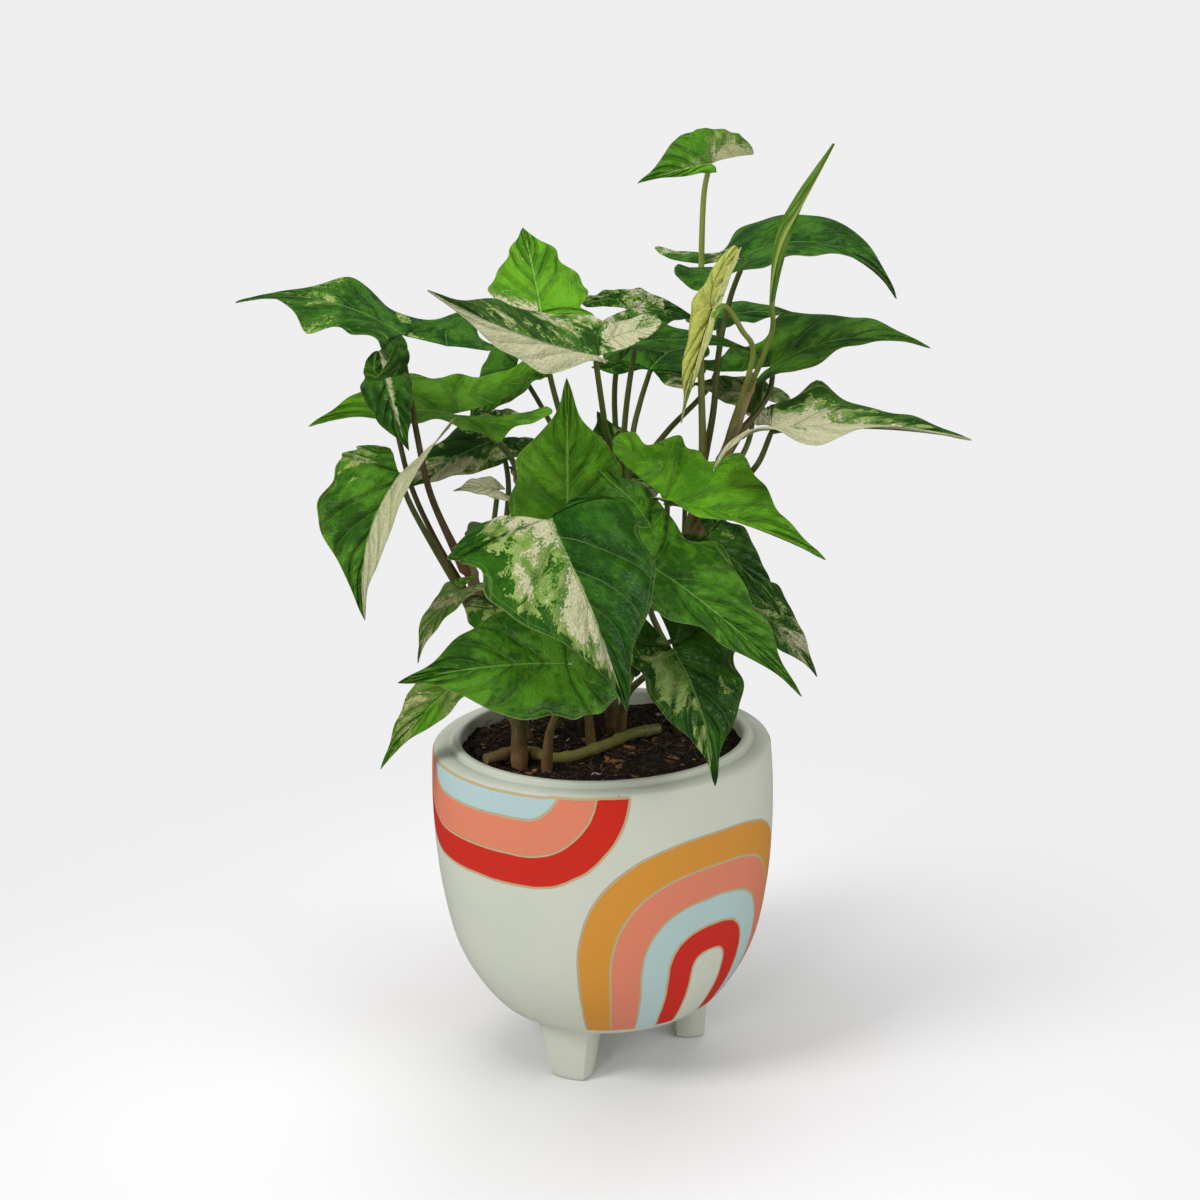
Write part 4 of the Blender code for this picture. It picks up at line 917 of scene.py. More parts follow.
         ("stem_back", 0.228), "leaf_dark", 0.0, width=0.3, lobe=0.3,
         via=((0.056, 0.066, 0.294), (0.034, 0.066, 0.270), (0.014, 0.061, 0.246))),
    Leaf("half_open", (0.0484, -0.032, 0.3326), (0.0350, -0.040, 0.289), (-0.5, -0.80, 0.20),
         ("stem_right", 0.278), "leaf_pale", (0.75, 1.2), gold=(0.5, 1.0), brown=-1.0, width=0.17,
         lobe=0.62, spread=-0.5, fold=50, bend=-10, stalk=0.0012,
         via=((0.0540, -0.028, 0.3335), (0.0610, -0.022, 0.3236), (0.0662, -0.014, 0.3124))),
    # Back
    Leaf("back_left", (-0.034, 0.064, 0.226), (-0.068, 0.100, 0.204), (-0.2, 0.55, 0.82),
         ("stem_back", 0.180), "leaf_green", -0.2, lobe=0.35),
    Leaf("back_right", (0.042, 0.064, 0.222), (0.074, 0.100, 0.200), (0.2, 0.60, 0.80),
         ("stem_back", 0.190), "leaf_mottled", 0.38, lobe=0.35),
    Leaf("back_middle", (0.002, 0.074, 0.196), (-0.004, 0.106, 0.146), (0.0, 0.85, 0.50),
         ("stem_back", 0.170), "leaf_dark", -0.2, lobe=0.35),
    Leaf("back_high", (-0.008, 0.068, 0.262), (0.012, 0.102, 0.240), (0.1, 0.60, 0.78),
         ("stem_back", 0.236), "leaf_green", (0.2, -0.2), lobe=0.4),
    Leaf("back_low", (0.044, 0.060, 0.182), (0.066, 0.092, 0.146), (0.4, 0.55, 0.70), ("stem_back", 0.160),
         "leaf_green", -0.2, lobe=0.4),
)


def read_table(table, shares):
    """Points of a smooth outline through the table's points, at these shares of the way from tip to lobe."""
    table = np.array(table)
    places, points = table[:, 0], table[:, 1:]
    slopes = np.gradient(points, places, axis=0)
    i = np.clip(np.searchsorted(places, shares, "right") - 1, 0, len(places) - 2)
    gap = (places[i + 1] - places[i])[:, None]
    t = ((shares - places[i]) / gap[:, 0])[:, None]
    return (points[i] * (1 + 2 * t) * (1 - t) ** 2 + points[i + 1] * t**2 * (3 - 2 * t)
            + slopes[i] * gap * t * (1 - t) ** 2 - slopes[i + 1] * gap * t**2 * (1 - t))


shares = np.linspace(0, 1, STATIONS)
across = np.linspace(0, 1, STEPS_ACROSS + 1)
margin = read_table(MARGIN, shares)
inner = read_table(INNER_EDGE, np.maximum(shares, MIDRIB_SHARE))
inner[shares < MIDRIB_SHARE] = np.array([[0, 1 - s / MIDRIB_SHARE] for s in shares[shares < MIDRIB_SHARE]])


def flat_half(leaf, side):
    """The flat half of a blade: how far across and along each point of its grid lies."""
    grid = inner[:, None] + (margin - inner)[:, None] * across[None, :, None]
    x, y = grid[..., 0], grid[..., 1].copy()
    behind, ahead = np.minimum(y, 0), np.clip(y, 0, 1)
    slow, quick = MARGIN_WAVES
    waves = np.sin(slow * y + leaf.shift + side) + 0.5 * np.sin(quick * y + 2 * leaf.shift - 3 * side)
    wobble = 1 + leaf.full[side] * 4 * ahead * (1 - ahead) + MARGIN_WOBBLE * leaf.wavy * across * waves
    wobble = wobble * (1 - leaf.pinch[side] * np.exp(-((ahead / PINCH_LENGTH) ** 2)))
    wobble = wobble * (1 - leaf.point[side] * np.exp(-(((y - TIP_NECK) / TIP_NECK_LENGTH) ** 2)))
    x = (x - leaf.spread[side] * behind / LOBE_REACH) * leaf.width[side] * wobble
    return x, np.where(y < 0, y * leaf.lobe[side] / LOBE_REACH, y)


def bent(leaf, side, x, y):
    """Where points of the flat half lie once the blade is folded, curled and waved."""
    x, y = np.asarray(x, float), np.asarray(y, float)
    total = np.where(y >= 0, radians(leaf.bend), -radians(leaf.droop[side]) / leaf.lobe[side])
    total = np.where(np.abs(total) < NEARLY_STRAIGHT, NEARLY_STRAIGHT, total)
    slope = total * y
    along, up = np.sin(slope) / total, (1 - np.cos(slope)) / total
    fold = np.radians(leaf.fold[side] + leaf.tip_fold[side] * np.maximum(y, 0))
    turn = radians(leaf.curl[side]) / leaf.width[side]
    turn = NEARLY_STRAIGHT if abs(turn) < NEARLY_STRAIGHT else turn
    end = fold + turn * x
    out, rise = (np.sin(end) - np.sin(fold)) / turn, (np.cos(fold) - np.cos(end)) / turn
    outwards = (x / leaf.width[side]) ** 2
    rise = rise + leaf.wave * outwards * np.sin(WAVES_ALONG * y + leaf.phase + side * WAVE_SHIFT)
    groups = 0.6 + 0.4 * np.sin(RUFFLE_GROUPS * y + 3 * leaf.shift)
    ruffle = np.sin(RUFFLES_ALONG * y + leaf.shift + side * RUFFLE_SHIFT) * groups
    across_waves, along_waves = SWELL_WAVES
    swell = np.sin(across_waves * x / leaf.width[side] + leaf.shift) * np.sin(
        along_waves * y + 2 * leaf.shift) * np.sqrt(outwards)
    rise = rise + RUFFLE * outwards**2 * ruffle + SWELL * swell
    out = (out if side else -out) + leaf.sway * (y - y * y)
    return np.stack([out, along - rise * np.sin(slope), up + rise * np.cos(slope)], -1)


def blade_frame(leaf):
    """The matrix and scale that lay the bent blade from its joint to its tip, looking the right way."""
    joint, tip = Vector(leaf.joint), Vector(leaf.tip)
    reach = (tip - joint).length
    ahead = (tip - joint) / reach
    face = Vector(leaf.face)
    face = (face - face.dot(ahead) * ahead).normalized()
    sideways = ahead.cross(face)
    local_tip = bent(leaf, 1, 0, 1)
    level = np.arctan2(local_tip[2], local_tip[1])
    scale = reach / np.hypot(local_tip[1], local_tip[2])
    y_axis = cos(level) * ahead - sin(level) * face
    z_axis = sin(level) * ahead + cos(level) * face
    return np.array(Matrix((sideways, y_axis, z_axis)).transposed()), scale


def grid_index():
    """Which point each place of the two halves is: they share the midrib, and each end is one point."""
    index = np.zeros((2, STATIONS, STEPS_ACROSS + 1), int)
    count = 1
    for side in (0, 1):
        for i in range(1, STATIONS):
            for k in range(STEPS_ACROSS + 1):
                if side and k == 0 and shares[i] <= MIDRIB_SHARE:
                    index[side, i, k] = index[0, i, k]
                elif i == STATIONS - 1 and k:
                    index[side, i, k] = index[side, i, 0]
                else:
                    index[side, i, k] = count
                    count += 1
    return index, count


point_index, point_count = grid_index()


def grid_faces():
    """The faces of the blade's middle surface, upper side out."""
    faces = []
    for side in (0, 1):
        index = point_index[side]
        for i in range(STATIONS - 1):
            for k in range(STEPS_ACROSS):
                corners = [index[i, k], index[i, k + 1], index[i + 1, k + 1], index[i + 1, k]]
                corners = list(dict.fromkeys(corners))
                if len(corners) > 2:
                    faces.append(tuple(map(int, corners[::-1] if side else corners)))
    return faces


middle_faces = grid_faces()
edge_pairs = {(f[i], f[(i + 1) % len(f)]) for f in middle_faces for i in range(len(f))}
rim_pairs = sorted(pair for pair in edge_pairs if pair[::-1] not in edge_pairs)
blade_faces = list(middle_faces)
blade_faces += [tuple(corner + point_count for corner in reversed(f)) for f in middle_faces]
blade_faces += [(b, a, a + point_count, b + point_count) for a, b in rim_pairs]


def surface_normals(points):
    """The upper side's direction at each point."""
    normals = np.zeros_like(points)
    for face in middle_faces:
        a, b, c = points[face[0]], points[face[1]], points[face[2]]
        normals[list(face)] += np.cross(b - a, c - a)
    return normals / np.linalg.norm(normals, axis=1, keepdims=True)


def eased(values, start, length):
    """0 up to the start, 1 past the length after it, and smooth between."""
    t = np.clip((values - start) / length, 0, 1)
    return t * t * (3 - 2 * t)


def vein_places():
    """At each place of a half: how many side veins lie tipwards of it, and how far it is from the rib."""
    s, q = np.meshgrid(shares, across, indexing="ij")
    soon, across_lobe = LOBE_RIB
    from_rib = np.abs(q - across_lobe * eased(s, MIDRIB_SHARE, soon))
    turn_start, turn_length, turn = VEIN_TURN
    curve = VEIN_CURVE * (1 - turn * eased(s, turn_start, turn_length))
    return SIDE_VEINS * (s + curve * from_rib), from_rib, s, q


veins, from_rib, share_grid, across_grid = vein_places()


def half_values(leaf, side, scale):
    """What the finish needs to know at each place of a half, and how far it puckers up."""
    x, y = flat_half(leaf, side)
    gap = np.abs(veins - np.round(veins))
    body = np.clip(from_rib * PUCKER_FADE, 0, 1) * np.clip((1 - across_grid) * PUCKER_FADE, 0, 1)
    to_lobe = np.clip((share_grid - LOBE_COLOUR[0]) / LOBE_COLOUR[1], 0, 1)
    cream = leaf.cream[side] * (1 - to_lobe) + leaf.lobe_cream[side] * to_lobe
    reach = np.hypot(*(margin - inner).T)[:, None] * leaf.width[side] * scale
    return {
        "pucker": PUCKER * scale / PUCKER_LENGTH * (np.sin(pi * gap) ** 0.8 - 0.5) * body,
        "cream": cream + leaf.middle[side] * (1 - 2 * across_grid),
        "gold": np.full(veins.shape, leaf.gold[side]),
        "vein": veins,
        "edge": across_grid,
        "rib": from_rib * reach,
        "across": (x if side else -x) * scale,
        "along": scale * (FLECK_LEAN * veins / SIDE_VEINS / MIDRIB_SHARE - (1 - FLECK_LEAN) * y),
    }


def beside_stem(name, height, target, own_radius):
    """A point beside a stem, on the target's side, the way a stalk leaves there, and the stem's middle."""
    radius, points = STEMS[name]
    path = smooth_path(points, NODE_PLACES)
    i = np.abs(path[:, 2] - height).argmin()
    along = np.gradient(path, axis=0)[i]
    along /= np.linalg.norm(along)
    towards = np.array(target) - path[i]
    towards -= towards @ along * along
    towards /= np.linalg.norm(towards)
    here = radius * (1 - (1 - STEM_TAPER) * i / len(path))
    beside = path[i] + towards * ((here + own_radius) * FACE_SHARE + CLEARANCE)
    return beside, along + towards * PETIOLE_LEAN, path[i]


def stalk_line(leaf, matrix, scale):
    """The stalk from inside its stem or the soil to the joint, then on under the blade as its midrib."""
    joint = np.array(leaf.joint)
    up, ahead = matrix[:, 2], matrix[:, 1]
    end = joint - up * PETIOLE_TOP_RADIUS
    if leaf.root[0] in STEMS:
        root, leave, middle = beside_stem(*leaf.root, leaf.via[-1] if leaf.via else leaf.joint, leaf.stalk)
        foot = middle + (root - middle) * PETIOLE_FOOT[0] - leave * PETIOLE_FOOT[1]
    else:
        root, leave = np.array((*leaf.root, SOIL_TOP + PETIOLE_START / 2)), np.array((0, 0, 1.0))
        foot = np.array((*leaf.root, SOIL_TOP - PETIOLE_SINK))
    if leaf.via:
        through = [root, root + leave * PETIOLE_START, *reversed(leaf.via), end]
    else:
        length = np.linalg.norm(joint - root)
        below, behind, ground = PETIOLE_ARRIVE
        first = root + leave * length * PETIOLE_SAG[0]
        second = end - (up * below + ahead * behind + np.array((0, 0, ground))) * length * PETIOLE_SAG[1]
        through = [(1 - t) ** 3 * root + 3 * (1 - t) ** 2 * t * first + 3 * (1 - t) * t**2 * second
                   + t**3 * end for t in np.linspace(0, 1, PETIOLE_KNOTS)]
    path = smooth_path(through, PETIOLE_STEPS)
    along = np.concatenate([[0], np.cumsum(np.linalg.norm(np.diff(path, axis=0), axis=1))])
    radii = leaf.stalk + (PETIOLE_TOP_RADIUS - leaf.stalk) * along / along[-1]
    radii *= 1 + SHEATH_SWELLING * np.exp(-((along / SHEATH_LENGTH) ** 2))
    y = np.linspace(0, MIDRIB_END, MIDRIB_STEPS)[1:]
    rib_radii = PETIOLE_TOP_RADIUS * (1 - y / MIDRIB_END) ** MIDRIB_TAPER * MIDRIB_SHARE_OF_STALK
    rib_radii += MIDRIB_TIP_RADIUS
    rib = bent(leaf, 1, np.zeros_like(y), y) * scale
    slope = radians(leaf.bend) * y
    below = np.stack([0 * y, -np.sin(slope), np.cos(slope)], -1) * (rib_radii * MIDRIB_SINK)[:, None]
    rib = (rib - below) @ matrix.T + joint
    line = np.vstack([foot, path, rib])
    return line, np.concatenate([[leaf.stalk], radii, rib_radii])


def leaf_mesh(leaf, number):
    """The blade as a thin closed sheet and the stalk as a line, in one mesh with what their finishes read."""
    matrix, scale = blade_frame(leaf)
    points = np.zeros((point_count, 3))
    values = {}
    for side in (0, 1):
        index = point_index[side]
        points[index] = bent(leaf, side, *flat_half(leaf, side))
        for name, grid in half_values(leaf, side, scale).items():
            values.setdefault(name, np.zeros(point_count))[index] = grid
    points = points * scale @ matrix.T + np.array(leaf.joint)
    normals = surface_normals(points)
    points = points + normals * values.pop("pucker")[:, None]
    half_thickness = BLADE_THICKNESS / 2 * (1 - (1 - EDGE_THICKNESS) * values["edge"] ** 4)[:, None]
    line, radii = stalk_line(leaf, matrix, scale)
    sheet, count = 2 * point_count, len(line)
    everything = np.vstack([points + normals * half_thickness, points - normals * half_thickness, line])
    edges = [(sheet + i, sheet + i + 1) for i in range(count - 1)]
    mesh = bpy.data.meshes.new(leaf.name)
    mesh.from_pydata([tuple(map(float, p)) for p in everything], edges, blade_faces)
    for name, blade_values in values.items():
        write_values(mesh, name, np.concatenate([blade_values, blade_values, np.zeros(count)]))
    write_values(mesh, "under", np.repeat([0.0, 1.0, 0.0], (point_count, point_count, count)))
    write_values(mesh, "radius", np.concatenate([np.zeros(sheet), radii]))
    write_values(mesh, "share", np.concatenate([np.zeros(sheet), np.linspace(0, 1, count)]))
    write_values(mesh, "number", np.full(sheet + count, float(number)))
    write_values(mesh, "lime", np.full(sheet + count, leaf.lime))
    return mesh


# What the skins of the leaves share
FLECK_STRETCH = 0.88
LEAF_SHIFT = 0.37  # so that each leaf has a pattern of its own
PATTERN = (  # patches, flecks and specks: scale, detail, distortion, and how much each adds to the cream
    (44.0, 1.0, 0.0, 1.8), (135.0, 5.0, 1.2, 1.3), (1150.0, 2.0, 0.0, 0.7))
LIME_STEP = (2.22, 2.25)  # the amount from which a place is lime, and from which it is wholly so
CREAM_STEP = (2.37, 2.39)
LIGHT_SCALES = (330.0, 70.0)
LIGHT_STEP = (0.64, 0.95)
LIMES = ((0.105, 0.215, 0.030, 1), (0.24, 0.33, 0.085, 1))
LIMES_STEP = (0.40, 0.62)
CREAMS = ((0.38, 0.40, 0.20, 1), (0.475, 0.455, 0.305, 1))
CREAMS_STEP = (0.35, 0.62)
GOLDS = ((0.33, 0.40, 0.05, 1), (0.47, 0.46, 0.12, 1))
# The colour multiplied in beside each side vein: painted shade in the grooves that the veins sink into.
PAINTED_VEIN_SHADE = (0.45, 0.54, 0.36, 1)
RIM_TONE = (0.30, 0.34, 0.12, 1)
UNDER_TONE = (0.16, 0.24, 0.09, 1)
RIM_VEIN = 0.93  # how far across the vein beside the margin lies
RIM = (0.975, 1.0)  # how far across the pale rim starts and is whole
VEIN_REACHES = {  # how far from each line it starts to fade, and has faded
    "shade": (0.02, 0.26), "side": (0.006, 0.026), "rim": (0.004, 0.016), "rib": (0.00025, 0.00075),
    "net": (0.0, 0.12), "quilt": (0.0, 0.30)}
NET_SCALE = 620.0
PUCKER_SCALE = 130.0
SKIN_RELIEF = 0.0017


def blade_finish(name, deep, bright, vein, rough):
    """Satin leaf skin: greens, then lime, then cream in flecks drawn out along the side veins; paler ribs;
    painted shade in the grooves beside the side veins.
    """
    material, tree, shader = new_finish(name)
    position = add_node(tree, "ShaderNodeCombineXYZ", {
        0: times(tree, attribute(tree, "across"), FLECK_STRETCH), 1: attribute(tree, "along"),
        2: times(tree, attribute(tree, "number"), LEAF_SHIFT)}).outputs[0]
    amount, layers = attribute(tree, "cream"), []
    for scale, detail, distortion, weight in PATTERN:
        layers.append(noise_of(tree, position, scale, detail, distortion))
        amount = times(tree, layers[-1], weight, plus=amount)
    flecks, specks = layers[1:]
    is_lime = step_between(tree, calc(tree, "ADD", amount, attribute(tree, "lime")), *LIME_STEP)
    is_cream = step_between(tree, amount, *CREAM_STEP)
    broad = noise_of(tree, position, LIGHT_SCALES[1], 3.0)
    light = times(tree, noise_of(tree, position, LIGHT_SCALES[0], 4.0), 0.6, plus=broad)
    green = mixed(tree, step_between(tree, light, *LIGHT_STEP), colour_of(deep), colour_of(bright))
    lime = mixed(tree, step_between(tree, flecks, *LIMES_STEP), *LIMES)
    cream = mixed(tree, step_between(tree, specks, *CREAMS_STEP), *CREAMS)
    cream = mixed(tree, attribute(tree, "gold"), cream, mixed(tree, specks, *GOLDS))
    colour = mixed(tree, is_cream, mixed(tree, is_lime, green, lime), cream)

    past_middle = calc(tree, "FRACT", calc(tree, "ADD", attribute(tree, "vein"), 0.5))
    to_vein = calc(tree, "ABSOLUTE", calc(tree, "SUBTRACT", past_middle, 0.5))
    # Painted shade: darker in the grooves beside each side vein, and weaker on cream.
    shade = step_down(tree, to_vein, *VEIN_REACHES["shade"])
    shade = times(tree, shade, times(tree, is_cream, -0.40, plus=0.50))
    colour = mixed(tree, shade, colour, mixed(tree, 1.0, colour, PAINTED_VEIN_SHADE, "MULTIPLY"))
    edge = attribute(tree, "edge")
    side_vein = step_down(tree, to_vein, *VEIN_REACHES["side"])
    side_vein = times(tree, side_vein, times(tree, edge, -0.6, plus=1.0))
    to_rim_vein = calc(tree, "ABSOLUTE", calc(tree, "SUBTRACT", edge, RIM_VEIN))
    rim_vein = times(tree, step_down(tree, to_rim_vein, *VEIN_REACHES["rim"]), 0.3)
    rib = step_down(tree, attribute(tree, "rib"), *VEIN_REACHES["rib"])
    drawn = calc(tree, "MAXIMUM", calc(tree, "MAXIMUM", side_vein, rim_vein), rib)
    shown = times(tree, drawn, times(tree, is_cream, -0.50, plus=0.80))
    colour = mixed(tree, shown, colour, colour_of(vein))
    cells = add_node(tree, "ShaderNodeTexVoronoi", {"Vector": position, "Scale": NET_SCALE},
                     feature="DISTANCE_TO_EDGE")
    net = step_down(tree, cells.outputs["Distance"], *VEIN_REACHES["net"])
    colour = mixed(tree, times(tree, net, 0.07), colour, colour_of(vein))
    colour = mixed(tree, times(tree, step_between(tree, edge, *RIM), 0.35), colour, RIM_TONE)
    under = attribute(tree, "under")
    colour = mixed(tree, under, colour, mixed(tree, 0.40, colour, UNDER_TONE))

    grooves = times(tree, drawn, -0.35, plus=times(tree, net, -0.08))
    depth = times(tree, is_cream, -0.35, plus=0.65)
    quilted = times(tree, step_between(tree, to_vein, *VEIN_REACHES["quilt"]), depth, plus=grooves)
    puckered = times(tree, noise_of(tree, position, PUCKER_SCALE, 3.0), 2.2, plus=quilted)
    set_inputs(tree, shader, {
        "Base Color": colour, "IOR": 1.36, "Subsurface Weight": 0.06, "Subsurface Scale": FLESH_DEPTH,
        "Roughness": times(tree, under, 0.22, plus=times(tree, flecks, 0.14, plus=rough)),
        "Normal": relief_of(tree, puckered, 1.0, SKIN_RELIEF)})
    return material


SKINS = {  # deep green, bright green, vein, and roughness
    "leaf_dark": ("dark_blade", (0.010, 0.052, 0.003), (0.042, 0.148, 0.009), (0.11, 0.25, 0.05), 0.22),
    "leaf_green": ("green_blade", (0.018, 0.080, 0.003), (0.068, 0.215, 0.010), (0.15, 0.33, 0.05), 0.24),
    "leaf_mottled": ("marbled_blade", (0.008, 0.055, 0.002), (0.026, 0.112, 0.004), (0.14, 0.27, 0.06), 0.26),
    # A brighter copy of the green skin: painted light for leaves that lie in shade, so that they look lit.
    "leaf_lit_green": ("bright_blade", (0.052, 0.190, 0.005), (0.112, 0.320, 0.010), (0.24, 0.46, 0.07), 0.24),
    "leaf_cream_dark": ("dark_and_cream_blade", (0.010, 0.055, 0.003), (0.036, 0.118, 0.008),
                        (0.20, 0.30, 0.09), 0.34),
    "leaf_pale": ("cream_blade", (0.020, 0.080, 0.004), (0.060, 0.160, 0.014), (0.30, 0.36, 0.14), 0.35),
}
blade_finishes = {skin: blade_finish(*values) for skin, values in SKINS.items()}
STALK_TONES = np.array([  # pale, green and brown stalks, each at its root, its middle and its top
    ((0.130, 0.110, 0.030), (0.200, 0.240, 0.045), (0.290, 0.370, 0.075)),
    ((0.105, 0.085, 0.022), (0.070, 0.105, 0.018), (0.075, 0.140, 0.022)),
    ((0.185, 0.090, 0.042), (0.070, 0.050, 0.017), (0.055, 0.060, 0.014)),
])
BROWN_STEPS = 4  # from pale to green, and as many from green to brown
stalk_finishes = {}
for k in range(-BROWN_STEPS, BROWN_STEPS + 1):
    low = 0 if k < 0 else 1
    share = k / BROWN_STEPS + 1 - low
    tones = STALK_TONES[low] * (1 - share) + STALK_TONES[low + 1] * share
    stalk_finishes[k] = stalk_finish(f"leaf_stalk_{k + BROWN_STEPS}", *tones.tolist())

for number, leaf in enumerate(LEAVES):
    blade = bpy.data.objects.new(leaf.name + "_leaf", leaf_mesh(leaf, number))
    bpy.context.scene.collection.objects.link(blade)
    made_by(stalks, blade, {
        "Sides": STALK_SIDES, "Stalk finish": stalk_finishes[round(leaf.brown * BROWN_STEPS)],
        "Blade finish": blade_finishes[leaf.skin or leaf.slot]})
    blade.data.shade_smooth()
    blade.data.set_sharp_from_angle(angle=BLADE_SHARP_EDGE)
    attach(blade, "root")
    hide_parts("leaf_" + leaf.name)

# The newest leaf is still rolled into a slender spike on its own thin stalk. The blade winds once and a half
# round itself, so that its pale edge runs up the outside in a slow turn.
SPIKE_ROOT = ("stem_right", 0.296)
SPIKE = (((0.0740, -0.012, 0.3211), 0.0011), ((0.0734, -0.022, 0.3360), 0.0013),
         ((0.0770, -0.026, 0.3590), 0.0032), ((0.0836, -0.027, 0.3743), 0.0025),
         ((0.0966, -0.028, 0.3952), 0.0005))
SPIKE_STEPS = 90
SPIKE_STALK_SHARE = 0.36  # how far up the stalk ends and the roll begins
ROLL_TURNS = 1.45
ROLL_SIDES = 30
ROLL_SHRINK = 0.30  # how much nearer the middle its inner edge is
ROLL_TWIST = 2.6  # how far the edge turns round on its way up
ROLL_THICKNESS = 0.00035
ROLL_HOLLOW = 0.1  # the least that its inner edge stands off the middle, as a share
ROLL_OVERLAP = 4  # steps of the path that the stalk runs on inside the roll
SPIKE_THINNEST = 0.0003
STRIPE_DENSITY = (14.0, 2.2)  # round the roll and along it
STRIPE_STEP = (0.38, 0.62)
ROLL_GREENS = ((0.030, 0.092, 0.008, 1), (0.115, 0.205, 0.022, 1))
ROLL_EDGE = (0.26, 0.34, 0.06, 1)
ROLL_EDGE_STEP = (0.93, 0.98)  # how far round the sheet its pale edge starts and is whole
ROLL_STALK = ((0.12, 0.14, 0.035), (0.15, 0.20, 0.035), (0.16, 0.24, 0.040))


def rolled_finish():
    """Fresh green with stripes drawn along it, pale along the edge."""
    material, tree, shader = new_finish("rolled_blade")
    lap, share = attribute(tree, "edge"), attribute(tree, "share")
    place = add_node(tree, "ShaderNodeCombineXYZ", {
        0: times(tree, lap, STRIPE_DENSITY[0]), 1: times(tree, share, STRIPE_DENSITY[1]), 2: 0.0}).outputs[0]
    stripes = noise_of(tree, place, 2.0, 4.0)
    colour = mixed(tree, step_between(tree, stripes, *STRIPE_STEP), *ROLL_GREENS)
    set_inputs(tree, shader, {
        "Base Color": mixed(tree, step_between(tree, lap, *ROLL_EDGE_STEP), colour, ROLL_EDGE),
        "Roughness": 0.38, "IOR": 1.30, "Subsurface Weight": 0.06, "Subsurface Scale": FLESH_DEPTH,
        "Normal": relief_of(tree, stripes, 0.5, 0.0004)})
    return material


def rolled_blade(name, path, radii):
    """A sheet wound round the path, closed at both ends, that knows how near its outer edge each point is."""
    along = np.gradient(path, axis=0)
    along /= np.linalg.norm(along, axis=1, keepdims=True)
    start = Vector(along[0]).orthogonal().normalized()
    turns = np.linspace(0, 1, ROLL_SIDES + 1)
    points, laps, places = [], [], []
    for i, (centre, direction, radius) in enumerate(zip(path, along, radii)):
        place = i / (len(path) - 1)
        side = (start - start.dot(Vector(direction)) * Vector(direction)).normalized()
        other = Vector(direction).cross(side)
        start = side
        for lap, inwards in [(t, 0.0) for t in turns] + [(t, ROLL_THICKNESS) for t in turns[::-1]]:
            angle = ROLL_TWIST * place + lap * ROLL_TURNS * 2 * pi
            reach = max(radius * (1 - ROLL_SHRINK * (1 - lap)) - inwards, radius * ROLL_HOLLOW)
            points.append(Vector(centre) + (cos(angle) * side + sin(angle) * other) * float(reach))
            laps.append(lap)
            places.append(place)
    ring = 2 * (ROLL_SIDES + 1)
    ends = [tuple(reversed(range(ring))), tuple(range(len(points) - ring, len(points)))]
    obj = add_mesh(name, points, ends + ring_faces(len(path), ring))
    write_values(obj.data, "edge", laps)
    write_values(obj.data, "share", places)
    return obj


spike_foot = beside_stem(*SPIKE_ROOT, SPIKE[0][0], SPIKE[0][1])[0]
spike_rows = [(spike_foot, SPIKE[0][1])] + [(np.array(point), r) for point, r in SPIKE]
spike_path = smooth_path([point for point, r in spike_rows], SPIKE_STEPS)
spike_radii = smooth_path([(r, 0) for point, r in spike_rows], SPIKE_STEPS)[:, 0]
spike_radii = np.maximum(spike_radii, SPIKE_THINNEST)
roll_start = int(SPIKE_STEPS * SPIKE_STALK_SHARE)
stalk_end = roll_start + ROLL_OVERLAP
spike = line_mesh("rolled_leaf", spike_path[:stalk_end], np.minimum(spike_radii[:stalk_end], SPIKE[0][1]))
made_by(stalks, spike, {"Sides": STALK_SIDES, "Stalk finish": stalk_finish("rolled_leaf_stalk", *ROLL_STALK)})
roll = rolled_blade("roll", spike_path[roll_start:], spike_radii[roll_start:])
roll.data.materials.append(rolled_finish())
with bpy.context.temp_override(active_object=spike, selected_editable_objects=[spike, roll]):
    bpy.ops.object.join()
spike.data.shade_smooth()
spike.data.set_sharp_from_angle(angle=SHARP_EDGE)
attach(spike, "root")
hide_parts("leaf_rolled")

# The floor is a plain pale sheet of paper that runs out into an evenly lit background. Soft round lamps
# stand round it, and it is seen from where the photograph was taken.
FLOOR_SIZE = 40.0
PAPER = ((0.73, 0.73, 0.73, 1), (0.76, 0.76, 0.76, 1))
DIM_ROOM = (0.10, 0.10, 0.10)  # what the leaves and the glaze mirror, apart from the lights
BACKGROUND = (0.86, 0.86, 0.87)
PAPER_FADE = (0.10, 0.42)  # from the paper round the pot to the evenly lit background
CAMERA_PLACE = (0.0, -0.700, 0.384)
CAMERA_PITCH = 75.84
CAMERA_ROLL = -1.5
CAMERA_YAW = 0.08
FOCAL_LENGTH = 50.0
SENSOR = 36.0

reach = FLOOR_SIZE / 2
corners = [(-reach, -reach, 0), (reach, -reach, 0), (reach, reach, 0), (-reach, reach, 0)]
floor = add_mesh("pale_floor", corners, [(0, 1, 2, 3)])
material, tree, shader = new_finish("pale_paper")
place = own_place(tree)
set_inputs(tree, shader, {"Base Color": mixed(tree, noise_of(tree, place, 2.0), *PAPER), "Roughness": 0.9,
                          "Specular IOR Level": 0.1})
away = add_node(tree, "ShaderNodeVectorMath", {0: place}, operation="LENGTH").outputs["Value"]
mirrored = add_node(tree, "ShaderNodeLightPath", {}).outputs["Is Glossy Ray"]
plain = calc(tree, "MAXIMUM", step_between(tree, away, *PAPER_FADE), mirrored)
far = mixed(tree, mirrored, colour_of(BACKGROUND), colour_of(DIM_ROOM))
glow = add_node(tree, "ShaderNodeEmission", {"Color": far}).outputs[0]
blend = add_node(tree, "ShaderNodeMixShader", {0: plain, 1: shader.outputs[0], 2: glow})
tree.links.new(blend.outputs[0], tree.nodes["Material Output"].inputs["Surface"])
floor.data.materials.append(material)


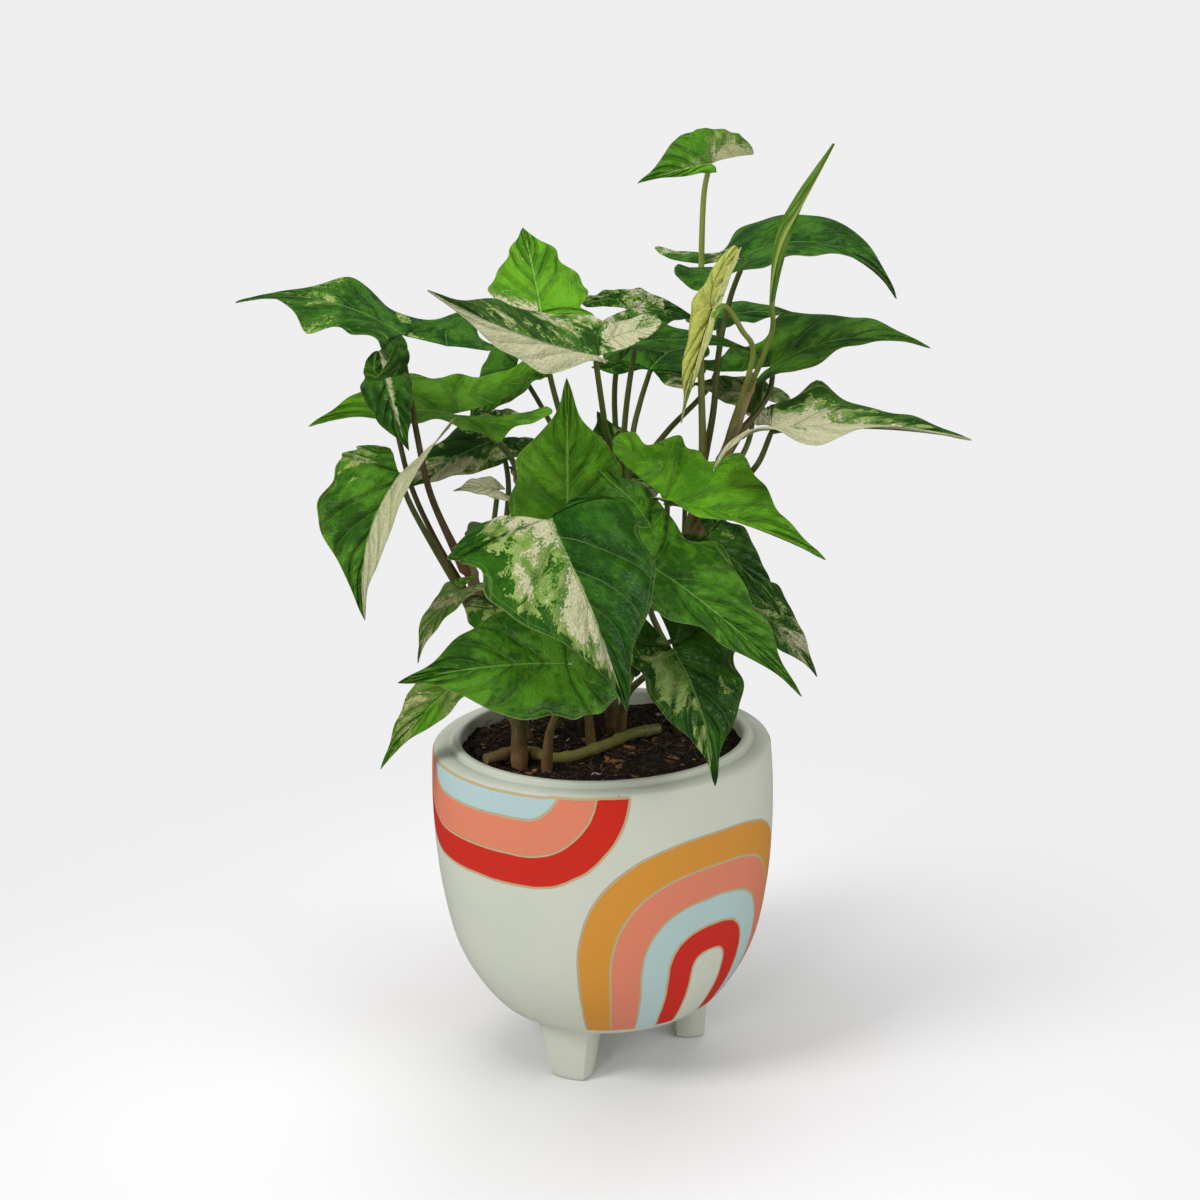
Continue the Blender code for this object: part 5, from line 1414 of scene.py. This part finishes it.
def soft_light(name, place, target, size, watts, mirrored=True):
    """A round lamp that looks at the target, and that the glaze and the leaves may mirror."""
    light = bpy.data.lights.new(name, "AREA")
    light.shape = "DISK"
    light.size = size
    light.energy = watts
    lamp = bpy.data.objects.new(name, light)
    lamp.location = place
    lamp.rotation_euler = (Vector(target) - Vector(place)).to_track_quat("-Z", "Y").to_euler()
    lamp.visible_glossy = mirrored
    bpy.context.scene.collection.objects.link(lamp)


MIDDLE = (0, 0, 0.20)
ROOM = (0.22, 0.22, 0.23)
soft_light("window_left", (-1.1, -0.7, 1.3), MIDDLE, 0.6, 16.5, mirrored=False)
soft_light("window_right", (1.2, -0.8, 1.0), MIDDLE, 1.2, 10.5)
soft_light("overhead", (-0.1, 0.0, 1.6), MIDDLE, 1.2, 12.5, mirrored=False)
soft_light("window_front", (-0.55, -1.3, 0.75), MIDDLE, 0.35, 3.4)
soft_light("window_behind", (0.4, 1.3, 0.9), MIDDLE, 1.4, 9, mirrored=False)
world = bpy.data.worlds.new("pale_room")
world.use_nodes = True
room = world.node_tree.nodes["Background"]
rays = add_node(world.node_tree, "ShaderNodeLightPath", {}).outputs
around = mixed(world.node_tree, rays["Is Glossy Ray"], colour_of(ROOM), colour_of(DIM_ROOM))
around = mixed(world.node_tree, rays["Is Camera Ray"], around, colour_of(BACKGROUND))
world.node_tree.links.new(around, room.inputs["Color"])
bpy.context.scene.world = world
bpy.context.scene.view_settings.view_transform = "Standard"

lens = bpy.data.cameras.new("photo_camera")
lens.lens = FOCAL_LENGTH
lens.sensor_width = SENSOR
lens.clip_start = 0.01
camera = bpy.data.objects.new("photo_camera", lens)
tilt = Matrix.Rotation(radians(-CAMERA_YAW), 4, "Z") @ Matrix.Rotation(radians(CAMERA_PITCH), 4, "X")
camera.matrix_world = Matrix.Translation(CAMERA_PLACE) @ tilt @ Matrix.Rotation(radians(CAMERA_ROLL), 4, "Z")
bpy.context.scene.collection.objects.link(camera)
bpy.context.scene.camera = camera
